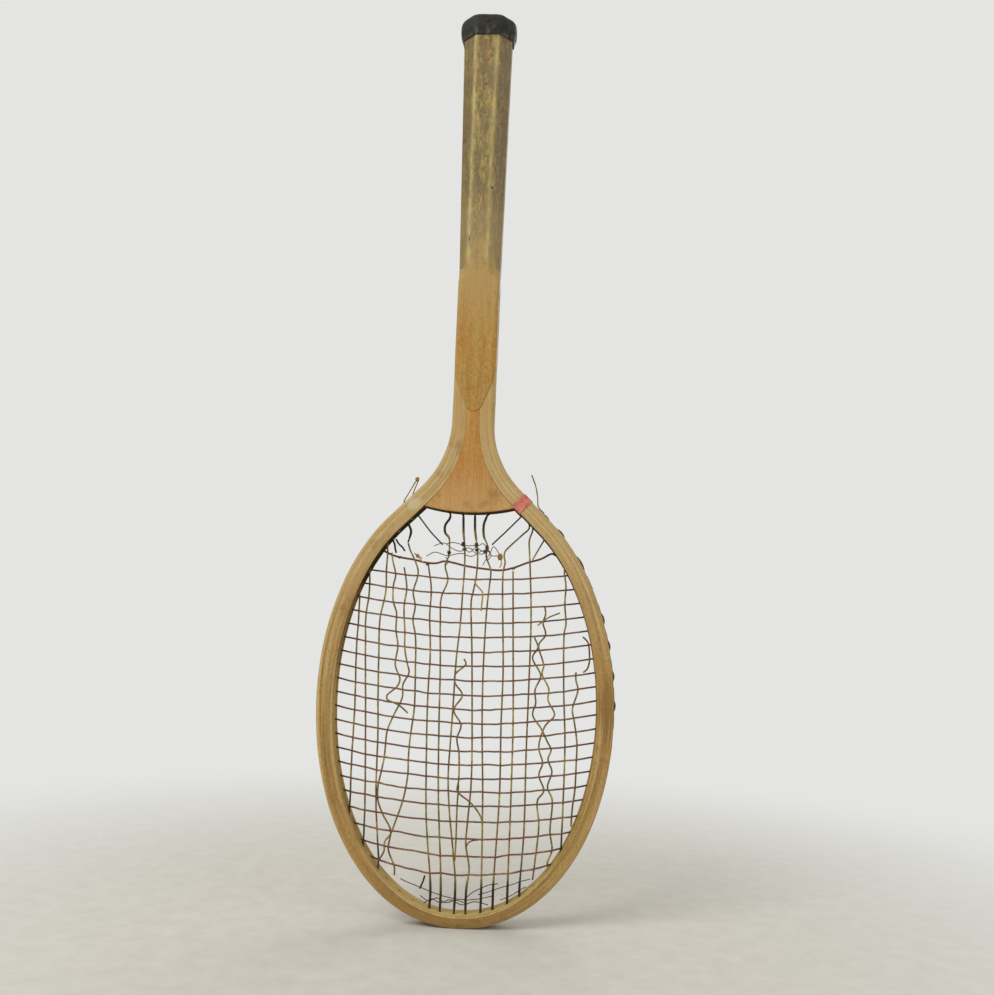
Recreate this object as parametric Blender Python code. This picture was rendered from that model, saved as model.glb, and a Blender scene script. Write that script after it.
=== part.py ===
"""A wooden lawn tennis racket of about 1910, upright on its toe with the handle up.

Lengths are in metres. X runs across the head, Y through the string bed (the face is towards -Y)
and Z up the handle. The origin is under the toe, in the middle of the racket.
"""

from math import atan2, copysign, cos, pi, radians, sin, sqrt, tan

import bmesh
import bpy
import numpy as np
from mathutils import Matrix, Vector

# Overall
OVERALL_LENGTH = 0.6870
FRAME_DEPTH = 0.0190
JOINT_GAP = 0.0003

# Bent hoop, seen from the front
HEAD_HALF_WIDTH = 0.1078
HEAD_LOWER_HEIGHT = 0.1550
HEAD_UPPER_HEIGHT = 0.1608
SHOULDER_SLOPE = radians(45.0)
SHOULDER_FILLET = 0.0730
SHAFT_HALF_WIDTH = 0.0156

# Width of the hoop's bent strip, across its front face
TOE_WIDTH = 0.0080
SIDE_WIDTH = 0.0122
THROAT_WIDTH = 0.0122
LEG_WIDTH = 0.0106

# Corners of the strip, and the groove round its outer face
OUTER_BEVEL = 0.0020
INNER_BEVEL = 0.0010
COVERED_BEVEL = 0.0004
GROOVE_HALF_WIDTH = 0.0030
GROOVE_DEPTH = 0.0018
GROOVE_SLOPE = 0.0003

# Throat wedge between the legs
WEDGE_EDGE_HEIGHT = 0.2935
WEDGE_EDGE_RADIUS = 0.1380
WEDGE_TAIL_HEIGHT = 0.5000

# Handle
CHEEK_LENGTH = 0.3170
CHEEK_CORNER = 0.0020
TONGUE_LENGTH = 0.0380
TONGUE_TIP_LENGTH = 0.0055
TONGUE_HALF_WIDTH = 0.0062
TONGUE_THICKNESS = 0.0008
GRIP_LENGTH = 0.2100
GRIP_STOP_LENGTH = 0.0070
GRIP_START_HALF_DEPTH = 0.0140
GRIP_START_CORNER = 0.0067
GRIP_END_HALF_WIDTH = 0.0190
GRIP_END_HALF_DEPTH = 0.0148
GRIP_END_CORNER = 0.0096

# Leather cap on the butt
CAP_HEIGHT = 0.0168
CAP_WALL = 0.0009
CAP_END_WALL = 0.0025
CAP_FLARE = 0.0021
CAP_FLARE_HEIGHT = 0.0085
CAP_ROUNDING_HEIGHT = 0.0045
CAP_ROUNDING_WIDTH = 0.0030

# Tacks that hold the cap
TACK_RADIUS = 0.0017
TACK_HEAD = 0.0007
TACK_HEIGHT = 0.0104
TACK_SIDES = 12

# Stringing
STRING_RADIUS = 0.00065
STRING_SIDES = 6
MAIN_COUNT = 18
CROSS_COUNT = 21
CROSS_WIDE_COUNT = 4
CROSS_WIDENING = 1.14
MAIN_SIDE_MARGIN = 0.0146
CROSS_TOE_MARGIN = 0.0360
CROSS_THROAT_MARGIN = 0.0440
CROSS_SAG = 0.0050
CROSS_EXTRA_SAG = 0.0045
CROSS_TOE_SAG = 0.0050
SIDE_LOOP_RISE = 0.00105
LOOP_BEND = 0.0009

# Holes drilled through the hoop and the wedge
HOLE_RADIUS = 0.00115
HOLE_WALL = 0.0004
HOLE_SIDES = 6
HOLE_LEAD = 0.0035
FAN_COUNT = 5
FAN_RISE = 0.0088

# Heavy cross string under the wedge
THROAT_CROSS_RISE = 0.0145
THROAT_CROSS_SAG = 0.0100
THROAT_CROSS_RADIUS = 0.0009

# Binding round the right shoulder
BINDING_WIDTH = 0.0078
BINDING_THICKNESS = 0.0006
BINDING_PLACE = 0.0090
BINDING_EDGE = 0.0008

# Steps round the hoop, per side
HEAD_STEPS = 24
SHOULDER_STEPS = 2
FILLET_STEPS = 6
ROUTE_STEPS = 300

# Steps of the other pieces
WEDGE_EDGE_STEPS = 12
TONGUE_STEPS = 5
CHEEK_STEPS = 4
CROSS_STEPS = 8
LOOP_STEPS = 3

# Steps of the rounded ends, as shares of their length, and a tack's radius and height
TIP_SHARES = (0.05, 0.25, 0.6)
FLARE_SHARES = (0.0, 0.35, 0.7, 1.0)
ROUNDING_SHARES = (0.0, 0.4, 0.7, 1.0)
TOE_LOOP_SHARES = (0.5, 0.0)
TACK_PROFILE = ((1.0, 0.0), (1.0, 0.25), (0.8, 0.7), (0.35, 1.0))

# How a string bends: the sharpest mitre, the bend left as it is, and the bend with more steps
MITRE_SHARE = 0.3
SLIGHT_BEND = radians(30.0)
SHARP_BEND = radians(60.0)
BEND_SHARE = 0.45
SMOOTH_ANGLE = radians(50.0)

# The toe's outline as a power of an ellipse's: 1 is a plain ellipse, and less is blunter
TOE_POWER = 0.966

# Share of the shoulder's fillet over which the string groove keeps its full depth
GROOVE_SHARE = 1 / 6

# Heights and half sizes that follow from the sizes above
HALF_DEPTH = FRAME_DEPTH / 2
CHEEK_BASE = HALF_DEPTH + JOINT_GAP
CAP_EDGE = OVERALL_LENGTH - CAP_HEIGHT
WOOD_TOP = OVERALL_LENGTH - CAP_END_WALL - JOINT_GAP
GRIP_START = OVERALL_LENGTH - GRIP_LENGTH
CHEEK_TIP = OVERALL_LENGTH - CHEEK_LENGTH
CHEEK_FULL = CHEEK_TIP + TONGUE_LENGTH
STRING_OFFSET = HOLE_RADIUS + HOLE_WALL / 2
MAIN_PLANE = -STRING_OFFSET
CROSS_PLANE = STRING_OFFSET
LAYER = 2 * STRING_RADIUS + JOINT_GAP
GROOVE_LOOP_DEPTH = GROOVE_DEPTH - JOINT_GAP - STRING_RADIUS
SIDE_LOOP_DEPTH = GROOVE_LOOP_DEPTH - SIDE_LOOP_RISE
SQUARE_CORNER = tan(pi / 8)
CORNER_GROWTH = 2 - sqrt(2)

# Finishes: colour, roughness, and how metallic
ASH = ((0.42, 0.27, 0.08), 0.5, 0.0)
WEDGE_WOOD = ((0.47, 0.24, 0.06), 0.45, 0.0)
CHEEK_WOOD = ((0.40, 0.23, 0.07), 0.55, 0.0)
CORE_WOOD = ((0.36, 0.22, 0.09), 0.6, 0.0)
CAP_LEATHER = ((0.035, 0.035, 0.025), 0.6, 0.0)
TACK_METAL = ((0.10, 0.08, 0.05), 0.5, 0.8)
GUT = ((0.20, 0.13, 0.04), 0.35, 0.0)
RED_GUT = ((0.24, 0.08, 0.03), 0.4, 0.0)
TAPE = ((0.60, 0.14, 0.12), 0.7, 0.0)


def clear_scene():
    for old in list(bpy.data.objects):
        bpy.data.objects.remove(old, do_unlink=True)


def material(name, colour, roughness, metallic):
    made = bpy.data.materials.new(name)
    made.use_nodes = True
    made.diffuse_color = (*colour, 1.0)
    shader = made.node_tree.nodes["Principled BSDF"]
    shader.inputs["Base Color"].default_value = (*colour, 1.0)
    shader.inputs["Roughness"].default_value = roughness
    shader.inputs["Metallic"].default_value = metallic
    return made


def add_object(name, mesh_maker, finish, parent, smooth=False):
    """An object whose mesh the maker fills in, with its faces turned outwards.

    Its finish is a colour, a roughness and how metallic it is.
    """
    mesh = bpy.data.meshes.new(name)
    shape = bmesh.new()
    mesh_maker(shape)
    bmesh.ops.recalc_face_normals(shape, faces=shape.faces)
    shape.to_mesh(mesh)
    shape.free()
    mesh.materials.append(material(name, *finish))
    if smooth:
        mesh.shade_smooth()
        mesh.set_sharp_from_angle(angle=SMOOTH_ANGLE)
    made = bpy.data.objects.new(name, mesh)
    bpy.context.scene.collection.objects.link(made)
    made.parent = parent
    return made


def cut(target, cutter):
    """Subtracts a cutter, which stays in the scene as a hidden guide."""
    cutter.hide_render = True
    cutter.display_type = "WIRE"
    modifier = target.modifiers.new(cutter.name, "BOOLEAN")
    modifier.operation = "DIFFERENCE"
    modifier.solver = "EXACT"
    modifier.object = cutter


def loft(shape, rings):
    """A closed skin through rings of equal point counts, capped at both ends."""
    loops = [[shape.verts.new(point) for point in ring] for ring in rings]
    for low, high in zip(loops, loops[1:]):
        for i in range(len(low)):
            j = (i + 1) % len(low)
            shape.faces.new((low[i], low[j], high[j], high[i]))
    shape.faces.new(list(reversed(loops[0])))
    shape.faces.new(loops[-1])


def tube(shape, points, radius, sides):
    """A capped tube along a line of points, with mitred bends."""
    points = [Vector(point) for point in points]
    runs = [(b - a).normalized() for a, b in zip(points, points[1:])]
    rings = []
    for i, point in enumerate(points):
        before = runs[max(i - 1, 0)]
        after = runs[min(i, len(runs) - 1)]
        along = (before + after).normalized()
        side = along.cross(Vector((0, 1, 0))).normalized()
        up = side.cross(along)
        turn = after - before
        stretch = 0.0
        if turn.length > 1e-6:
            turn.normalize()
            stretch = 1 / max(along.dot(after), MITRE_SHARE) - 1
        ring = []
        for step in range(sides):
            angle = 2 * pi * step / sides
            spoke = side * cos(angle) + up * sin(angle)
            if stretch:
                spoke = spoke + turn * (spoke.dot(turn) * stretch)
            ring.append(point + spoke * radius)
        rings.append(ring)
    loft(shape, rings)


def rounded(points, radius):
    """The same line with each sharp bend replaced by a short arc."""
    points = [Vector(point) for point in points]
    line = [points[0]]
    for before, corner, after in zip(points, points[1:], points[2:]):
        start = before - corner
        end = after - corner
        bend = pi - start.angle(end)
        if bend < SLIGHT_BEND:
            line.append(corner)
            continue
        room = BEND_SHARE * min(start.length, end.length)
        reach = min(radius * tan(bend / 2), room)
        first = corner + start.normalized() * reach
        last = corner + end.normalized() * reach
        steps = 2 if bend < SHARP_BEND else 4
        for i in range(steps + 1):
            t = i / steps
            line.append(first.lerp(corner, t).lerp(corner.lerp(last, t), t))
    line.append(points[-1])
    return line


def ease(t):
    t = min(max(t, 0.0), 1.0)
    return t * t * (3 - 2 * t)


def along_grip(z, start, end):
    """A size of the handle: the same up the shaft, then changing evenly along the grip."""
    share = min(max((z - GRIP_START) / (CAP_EDGE - GRIP_START), 0.0), 1.0)
    return start + (end - start) * share


def grip_half(z):
    return along_grip(z, SHAFT_HALF_WIDTH, GRIP_END_HALF_WIDTH)


def grip_depth(z):
    return along_grip(z, GRIP_START_HALF_DEPTH, GRIP_END_HALF_DEPTH)


def grip_corner(z):
    return along_grip(z, GRIP_START_CORNER, GRIP_END_CORNER)


def octagon_bevel(z):
    """How far the octagon cuts back the corner of a leg."""
    return max(HALF_DEPTH - grip_depth(z) + grip_corner(z), COVERED_BEVEL)


def leg_bevel(z):
    """Rounded on the bare shaft, nearly square under the cheeks, cut to the octagon in the grip."""
    if z >= GRIP_START:
        return octagon_bevel(z)
    heights = [CHEEK_TIP, CHEEK_FULL, GRIP_START - GRIP_STOP_LENGTH, GRIP_START]
    bevels = [OUTER_BEVEL, COVERED_BEVEL, COVERED_BEVEL, octagon_bevel(GRIP_START)]
    return float(np.interp(z, heights, bevels))


class Station:
    """A place on the right-hand rail: outer point, way inwards, strip width, groove and bevel."""

    def __init__(self, x, z, inward, width, groove, bevel):
        length = sqrt(inward[0] ** 2 + inward[1] ** 2)
        self.x = x
        self.z = z
        self.inward = (inward[0] / length, inward[1] / length)
        self.width = width
        self.groove = groove
        self.bevel = bevel

    def at(self, depth):
        return (self.x + self.inward[0] * depth, self.z + self.inward[1] * depth)


SHOULDER_TURN = atan2(HEAD_UPPER_HEIGHT, HEAD_HALF_WIDTH * tan(SHOULDER_SLOPE))
SHOULDER_X = HEAD_HALF_WIDTH * cos(SHOULDER_TURN)
SHOULDER_Z = HEAD_LOWER_HEIGHT + HEAD_UPPER_HEIGHT * sin(SHOULDER_TURN)
FILLET_X = SHAFT_HALF_WIDTH + SHOULDER_FILLET
FILLET_Z = SHOULDER_Z + (
    SHOULDER_FILLET - (FILLET_X - SHOULDER_X) * sin(SHOULDER_SLOPE)
) / cos(SHOULDER_SLOPE)
FILLET_FOOT = (
    FILLET_X - SHOULDER_FILLET * sin(SHOULDER_SLOPE),
    FILLET_Z - SHOULDER_FILLET * cos(SHOULDER_SLOPE),
)


def head_stations(head_steps, shoulder_steps, fillet_steps):
    """The right-hand rail from the middle of the toe to the top of the shoulder's fillet."""
    stations = []
    for i in range(head_steps):
        turn = -pi / 2 + (SHOULDER_TURN + pi / 2) * i / head_steps
        height = HEAD_LOWER_HEIGHT if turn < 0 else HEAD_UPPER_HEIGHT
        power = TOE_POWER if turn < 0 else 1.0
        width = TOE_WIDTH + (SIDE_WIDTH - TOE_WIDTH) * ease(1 + turn / (pi / 2))
        x = HEAD_HALF_WIDTH * cos(turn) ** power
        z = HEAD_LOWER_HEIGHT + height * copysign(abs(sin(turn)) ** power, turn)
        steepness = copysign(abs(sin(turn)) ** (2 - power), turn)
        inward = (-height * cos(turn) ** (2 - power), -HEAD_HALF_WIDTH * steepness)
        stations.append(Station(x, z, inward, width, GROOVE_DEPTH, OUTER_BEVEL))
    slope = (-sin(SHOULDER_SLOPE), -cos(SHOULDER_SLOPE))
    for i in range(shoulder_steps):
        share = i / shoulder_steps
        x = SHOULDER_X + (FILLET_FOOT[0] - SHOULDER_X) * share
        z = SHOULDER_Z + (FILLET_FOOT[1] - SHOULDER_Z) * share
        width = SIDE_WIDTH + (THROAT_WIDTH - SIDE_WIDTH) * share
        stations.append(Station(x, z, slope, width, GROOVE_DEPTH, OUTER_BEVEL))
    for i in range(fillet_steps + 1):
        share = i / fillet_steps
        turn = (pi / 2 - SHOULDER_SLOPE) * (1 - share)
        spoke = (-cos(turn), -sin(turn))
        x = FILLET_X + SHOULDER_FILLET * spoke[0]
        z = FILLET_Z + SHOULDER_FILLET * spoke[1]
        width = THROAT_WIDTH + (LEG_WIDTH - THROAT_WIDTH) * ease(share)
        groove = GROOVE_DEPTH * (1 - ease(2 * (share - GROOVE_SHARE)))
        stations.append(Station(x, z, spoke, width, groove, OUTER_BEVEL))
    return stations


def leg_heights(start):
    """Heights above the start at which a leg changes its section."""
    stop = GRIP_START - GRIP_STOP_LENGTH
    heights = [CHEEK_TIP, CHEEK_FULL, stop, GRIP_START, CAP_EDGE, WOOD_TOP]
    return [z for z in heights if z > start + JOINT_GAP]


def rail_stations():
    """The right-hand rail from the toe to the top of its leg in the handle."""
    stations = head_stations(HEAD_STEPS, SHOULDER_STEPS, FILLET_STEPS)
    for z in leg_heights(FILLET_Z):
        stations.append(Station(grip_half(z), z, (-1, 0), LEG_WIDTH, 0.0, leg_bevel(z)))
    return stations


def strip_section(station, side):
    """The bent strip's section at a station, with the string groove in its outer face."""
    bevel = station.bevel
    groove = station.groove
    floor = GROOVE_HALF_WIDTH - GROOVE_SLOPE
    corner = HALF_DEPTH - bevel
    outline = [
        (bevel, -HALF_DEPTH),
        (0.0, -corner),
        (0.0, -GROOVE_HALF_WIDTH),
        (groove, -floor),
        (groove, floor),
        (0.0, GROOVE_HALF_WIDTH),
        (0.0, corner),
        (bevel, HALF_DEPTH),
        (station.width - INNER_BEVEL, HALF_DEPTH),
        (station.width, HALF_DEPTH - INNER_BEVEL),
        (station.width, -HALF_DEPTH + INNER_BEVEL),
        (station.width - INNER_BEVEL, -HALF_DEPTH),
    ]
    ring = []
    for depth, y in outline:
        x, z = station.at(depth)
        ring.append((side * x, y, z))
    return ring


def make_hoop(shape):
    right = rail_stations()
    rings = [strip_section(station, 1) for station in reversed(right)]
    rings += [strip_section(station, -1) for station in right[1:]]
    loft(shape, rings)


class Route:
    """Smooth outer line of the right-hand rail, for laying out holes and strings."""

    def __init__(self):
        self.stations = head_stations(ROUTE_STEPS, ROUTE_STEPS // 6, ROUTE_STEPS // 6)
        self.outer = np.array([(s.x, s.z) for s in self.stations])
        self.inward = np.array([s.inward for s in self.stations])
        self.width = np.array([s.width for s in self.stations])
        steps = np.hypot(*np.diff(self.outer, axis=0).T)
        self.length = np.concatenate([[0.0], np.cumsum(steps)])
        self.widest = float(self.length[np.argmax(self.outer[:, 0])])
        self.foot = self.length[ROUTE_STEPS + ROUTE_STEPS // 6]

    def line(self, depth):
        """The outer line moved inwards, or the inner face where the depth is None."""
        inset = self.width if depth is None else np.full(len(self.width), depth)
        return self.outer + self.inward * inset[:, None]

    def at(self, place, depth):
        line = self.line(depth)
        return (
            float(np.interp(place, self.length, line[:, 0])),
            float(np.interp(place, self.length, line[:, 1])),
        )

    def crossing(self, axis, value, depth, upper):
        """Place along the rail where its line meets x or z equal to the value."""
        line = self.line(depth)[:, axis] - value
        for i in range(len(line) - 1):
            if (self.length[i] >= self.widest) != upper:
                continue
            if line[i] == line[i + 1] or line[i] * line[i + 1] > 0:
                continue
            share = line[i] / (line[i] - line[i + 1])
            return float(self.length[i] + share * (self.length[i + 1] - self.length[i]))
        raise ValueError("no place on the rail at %.4f" % value)


RAIL = Route()
INNER_HALF_WIDTH = float(RAIL.line(None)[:, 0].max())
MAIN_PITCH = 2 * (INNER_HALF_WIDTH - MAIN_SIDE_MARGIN) / (MAIN_COUNT - 1)
CROSS_TOP = WEDGE_EDGE_HEIGHT - CROSS_THROAT_MARGIN
CROSS_BOTTOM = TOE_WIDTH + CROSS_TOE_MARGIN
CROSS_EVEN_COUNT = CROSS_COUNT - 1 - CROSS_WIDE_COUNT
CROSS_PITCH = (CROSS_TOP - CROSS_BOTTOM) / (CROSS_EVEN_COUNT + CROSS_WIDE_COUNT * CROSS_WIDENING)


def main_x(number):
    return (number - (MAIN_COUNT - 1) / 2) * MAIN_PITCH


def cross_z(number):
    """Height of a cross string at the rails; the last ones lie further apart."""
    steps = min(number, CROSS_EVEN_COUNT) + CROSS_WIDENING * max(number - CROSS_EVEN_COUNT, 0)
    return CROSS_TOP - steps * CROSS_PITCH


def wedge_edge(x):
    """Height of the wedge's curved lower edge."""
    return WEDGE_EDGE_HEIGHT + WEDGE_EDGE_RADIUS - sqrt(WEDGE_EDGE_RADIUS**2 - x**2)


def wedge_side():
    """The wedge's right side, from its lower corner up to the top of its tail."""
    line = []
    for station in rail_stations():
        x, z = station.at(station.width + JOINT_GAP)
        line.append((x, z))
    above = []
    for low, high in zip(line, line[1:]):
        if high[1] < WEDGE_EDGE_HEIGHT or high[0] > WEDGE_EDGE_RADIUS:
            continue
        if high[1] <= wedge_edge(high[0]):
            continue
        if not above:
            near, far = 0.0, 1.0
            for _ in range(40):
                middle = (near + far) / 2
                x = low[0] + (high[0] - low[0]) * middle
                z = low[1] + (high[1] - low[1]) * middle
                if x < WEDGE_EDGE_RADIUS and z > wedge_edge(x):
                    far = middle
                else:
                    near = middle
            above.append((x, z))
        if high[1] >= WEDGE_TAIL_HEIGHT:
            share = (WEDGE_TAIL_HEIGHT - low[1]) / (high[1] - low[1])
            above.append((low[0] + (high[0] - low[0]) * share, WEDGE_TAIL_HEIGHT))
            break
        above.append(high)
    return above


WEDGE_SIDE = wedge_side()
WEDGE_CORNER = WEDGE_SIDE[0]


def make_wedge(shape):
    corner = WEDGE_CORNER[0]
    outline = []
    for i in range(1, WEDGE_EDGE_STEPS):
        x = -corner + 2 * corner * i / WEDGE_EDGE_STEPS
        outline.append((x, wedge_edge(x)))
    outline += WEDGE_SIDE
    outline += [(-x, z) for x, z in reversed(WEDGE_SIDE)]
    front = [shape.verts.new((x, -HALF_DEPTH, z)) for x, z in outline]
    face = shape.faces.new(front)
    moved = bmesh.ops.extrude_face_region(shape, geom=[face])
    back = [item for item in moved["geom"] if isinstance(item, bmesh.types.BMVert)]
    bmesh.ops.translate(shape, verts=back, vec=(0, FRAME_DEPTH, 0))


def make_core(shape):
    """Filler between the legs, from the wedge's tail to the butt."""
    start = WEDGE_TAIL_HEIGHT + JOINT_GAP
    rings = []
    for z in [start] + leg_heights(start):
        half = grip_half(z) - LEG_WIDTH - JOINT_GAP
        rings.append(
            [
                (-half, -HALF_DEPTH, z),
                (half, -HALF_DEPTH, z),
                (half, HALF_DEPTH, z),
                (-half, HALF_DEPTH, z),
            ]
        )
    loft(shape, rings)


def tongue_half(z):
    """Half width of a cheek's tongue: a round tip that spreads to the width of the shaft."""
    height = z - CHEEK_TIP
    if height < TONGUE_TIP_LENGTH:
        share = 1 - height / TONGUE_TIP_LENGTH
        return TONGUE_HALF_WIDTH * sqrt(1 - share**2)
    share = (height - TONGUE_TIP_LENGTH) / (TONGUE_LENGTH - TONGUE_TIP_LENGTH)
    return TONGUE_HALF_WIDTH + (SHAFT_HALF_WIDTH - TONGUE_HALF_WIDTH) * sin(share * pi / 2)


def cheek_section(z, half, side):
    """Half of the handle's outline in front of the legs, or behind them."""
    if z >= GRIP_START:
        front = grip_depth(z)
        front_half = half - grip_corner(z)
        diagonal = front + front_half
        middle = (CHEEK_BASE + front) / 2
        base_half = min(half, diagonal - CHEEK_BASE)
        middle_half = min(half, diagonal - middle)
    else:
        share = ease((z - CHEEK_TIP) / (GRIP_START - CHEEK_TIP))
        thickness = GRIP_START_HALF_DEPTH - CHEEK_BASE
        front = CHEEK_BASE + TONGUE_THICKNESS + (thickness - TONGUE_THICKNESS) * share
        corner = min(CHEEK_CORNER, (front - CHEEK_BASE) / 2)
        front_half = half - corner
        middle = front - corner
        middle_half = half
        base_half = half
    outline = [
        (-base_half, CHEEK_BASE),
        (-middle_half, middle),
        (-front_half, front),
        (front_half, front),
        (middle_half, middle),
        (base_half, CHEEK_BASE),
    ]
    return [(x, side * y, z) for x, y in outline]


def make_cheek(side):
    def maker(shape):
        rings = []
        for share in TIP_SHARES:
            z = CHEEK_TIP + TONGUE_TIP_LENGTH * share
            rings.append(cheek_section(z, tongue_half(z), side))
        spread = TONGUE_LENGTH - TONGUE_TIP_LENGTH
        for i in range(TONGUE_STEPS):
            z = CHEEK_TIP + TONGUE_TIP_LENGTH + spread * i / TONGUE_STEPS
            rings.append(cheek_section(z, tongue_half(z), side))
        stop = GRIP_START - GRIP_STOP_LENGTH
        for i in range(CHEEK_STEPS + 1):
            z = CHEEK_FULL + (stop - CHEEK_FULL) * i / CHEEK_STEPS
            rings.append(cheek_section(z, SHAFT_HALF_WIDTH, side))
        for z in (GRIP_START, CAP_EDGE, WOOD_TOP):
            rings.append(cheek_section(z, grip_half(z), side))
        loft(shape, rings)

    return maker


def octagon(lift, z):
    """The handle's outline at the butt, moved outwards by the lift."""
    half = GRIP_END_HALF_WIDTH + lift
    depth = GRIP_END_HALF_DEPTH + lift
    corner = GRIP_END_CORNER + CORNER_GROWTH * lift
    corners = [
        (half, depth - corner),
        (half - corner, depth),
        (corner - half, depth),
        (-half, depth - corner),
    ]
    corners += [(-x, -y) for x, y in corners]
    return [(x, y, z) for x, y in corners]


def cap_lift(z):
    """How far the cap's outside stands off the wood: flared upwards and rounded over at the end."""
    flare = CAP_FLARE * ease((z - CAP_EDGE) / CAP_FLARE_HEIGHT)
    over = max(z - (OVERALL_LENGTH - CAP_ROUNDING_HEIGHT), 0.0) / CAP_ROUNDING_HEIGHT
    rounding = CAP_ROUNDING_WIDTH * (1 - sqrt(max(1 - over**2, 0.0)))
    return JOINT_GAP + CAP_WALL + flare - rounding


def make_cap(shape):
    rings = [octagon(JOINT_GAP, OVERALL_LENGTH - CAP_END_WALL)]
    rings.append(octagon(JOINT_GAP, CAP_EDGE))
    for share in FLARE_SHARES:
        z = CAP_EDGE + CAP_FLARE_HEIGHT * share
        rings.append(octagon(cap_lift(z), z))
    for share in ROUNDING_SHARES:
        z = OVERALL_LENGTH - CAP_ROUNDING_HEIGHT * (1 - sin(share * pi / 2))
        rings.append(octagon(cap_lift(z), z))
    loft(shape, rings)


def make_tack(shape):
    """A domed tack head, its axis along +Z and its base at the origin."""
    rings = []
    for radius, height in TACK_PROFILE:
        ring = []
        for i in range(TACK_SIDES):
            turn = 2 * pi * i / TACK_SIDES
            x = TACK_RADIUS * radius * cos(turn)
            y = TACK_RADIUS * radius * sin(turn)
            ring.append((x, y, TACK_HEAD * height))
        rings.append(ring)
    loft(shape, rings)


def place_tack(tack, turn):
    """Seats a tack on the cap's upright flat that faces the given way."""
    z = CAP_EDGE + TACK_HEIGHT
    lift = max(cap_lift(z - TACK_RADIUS), cap_lift(z), cap_lift(z + TACK_RADIUS))
    place = Matrix.Translation((GRIP_END_HALF_DEPTH + lift + JOINT_GAP, 0, z))
    upright = Matrix.Rotation(pi / 2, 4, "Y")
    tack.matrix_world = Matrix.Rotation(turn, 4, "Z") @ place @ upright


def fan_place(number):
    """Place along the right rail where a string comes out of the fan of holes.

    The fan's holes are evenly spaced down to the first hole beside the fan.
    """
    top = RAIL.foot + FAN_RISE
    beside = RAIL.crossing(0, (FAN_COUNT + 1 / 2) * MAIN_PITCH, GROOVE_LOOP_DEPTH, True)
    return top + (beside - top) * number / FAN_COUNT


def throat_hole(number):
    """Centre line of the hole for a main string's throat end, from the bed outwards."""
    x = main_x(number)
    side = 1 if x > 0 else -1
    from_centre = int(abs(number - (MAIN_COUNT - 1) / 2))
    x = abs(x)
    if x < WEDGE_CORNER[0]:
        entry = (x, wedge_edge(x))
    else:
        entry = (x, RAIL.at(RAIL.crossing(0, x, None, True), None)[1])
    if from_centre < FAN_COUNT:
        place = fan_place(from_centre)
    else:
        place = RAIL.crossing(0, x, GROOVE_LOOP_DEPTH, True)
    out = RAIL.at(place, GROOVE_LOOP_DEPTH)
    return side, place, [entry, out]


def toe_hole(number):
    """Centre line of the hole for a main string's toe end, from the bed outwards."""
    x = main_x(number)
    side = 1 if x > 0 else -1
    x = abs(x)
    entry = (x, RAIL.at(RAIL.crossing(0, x, None, False), None)[1])
    place = RAIL.crossing(0, x, GROOVE_LOOP_DEPTH, False)
    return side, place, [entry, RAIL.at(place, GROOVE_LOOP_DEPTH)]


def cross_hole(z, depth):
    """Centre line of the right-hand hole for a cross string, from the bed outwards."""
    upper = z > HEAD_LOWER_HEIGHT
    entry = (RAIL.at(RAIL.crossing(1, z, None, upper), None)[0], z)
    place = RAIL.crossing(1, z, depth, upper)
    return place, [entry, RAIL.at(place, depth)]


def drill(shape, side, line, plane, lead):
    """A cutter along a hole, running on past both of its ends."""
    entry, out = [Vector((side * x, plane, z)) for x, z in line]
    along = (out - entry).normalized()
    points = [entry + Vector(lead) * HOLE_LEAD, entry, out + along * HOLE_LEAD]
    tube(shape, points, HOLE_RADIUS, HOLE_SIDES)


def make_throat_holes(shape):
    for number in range(MAIN_COUNT):
        side, _, line = throat_hole(number)
        drill(shape, side, line, MAIN_PLANE, (0, 0, -1))


def make_toe_holes(shape):
    for number in range(MAIN_COUNT):
        side, _, line = toe_hole(number)
        drill(shape, side, line, MAIN_PLANE, (0, 0, 1))


def make_cross_holes(shape):
    heights = [cross_z(number) for number in range(CROSS_COUNT)]
    heights.append(CROSS_TOP + THROAT_CROSS_RISE)
    for z in heights:
        _, line = cross_hole(z, GROOVE_LOOP_DEPTH)
        for side in (1, -1):
            drill(shape, side, line, CROSS_PLANE, (-side, 0, 0))


def along_rail(start, end, depth, side, plane):
    """Points of a string lying along the rail's outer face between two holes."""
    points = []
    for i in range(1, LOOP_STEPS):
        x, z = RAIL.at(start + (end - start) * i / LOOP_STEPS, depth)
        points.append((side * x, plane, z))
    return points


def over_toe(first, second, depth, plane):
    """Points of a string lying under the toe between holes on either side of its middle."""
    points = []
    for share in TOE_LOOP_SHARES:
        x, z = RAIL.at(first * share, depth)
        points.append((-x, plane, z))
    x, z = RAIL.at(second * TOE_LOOP_SHARES[0], depth)
    points.append((x, plane, z))
    return points


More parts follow.
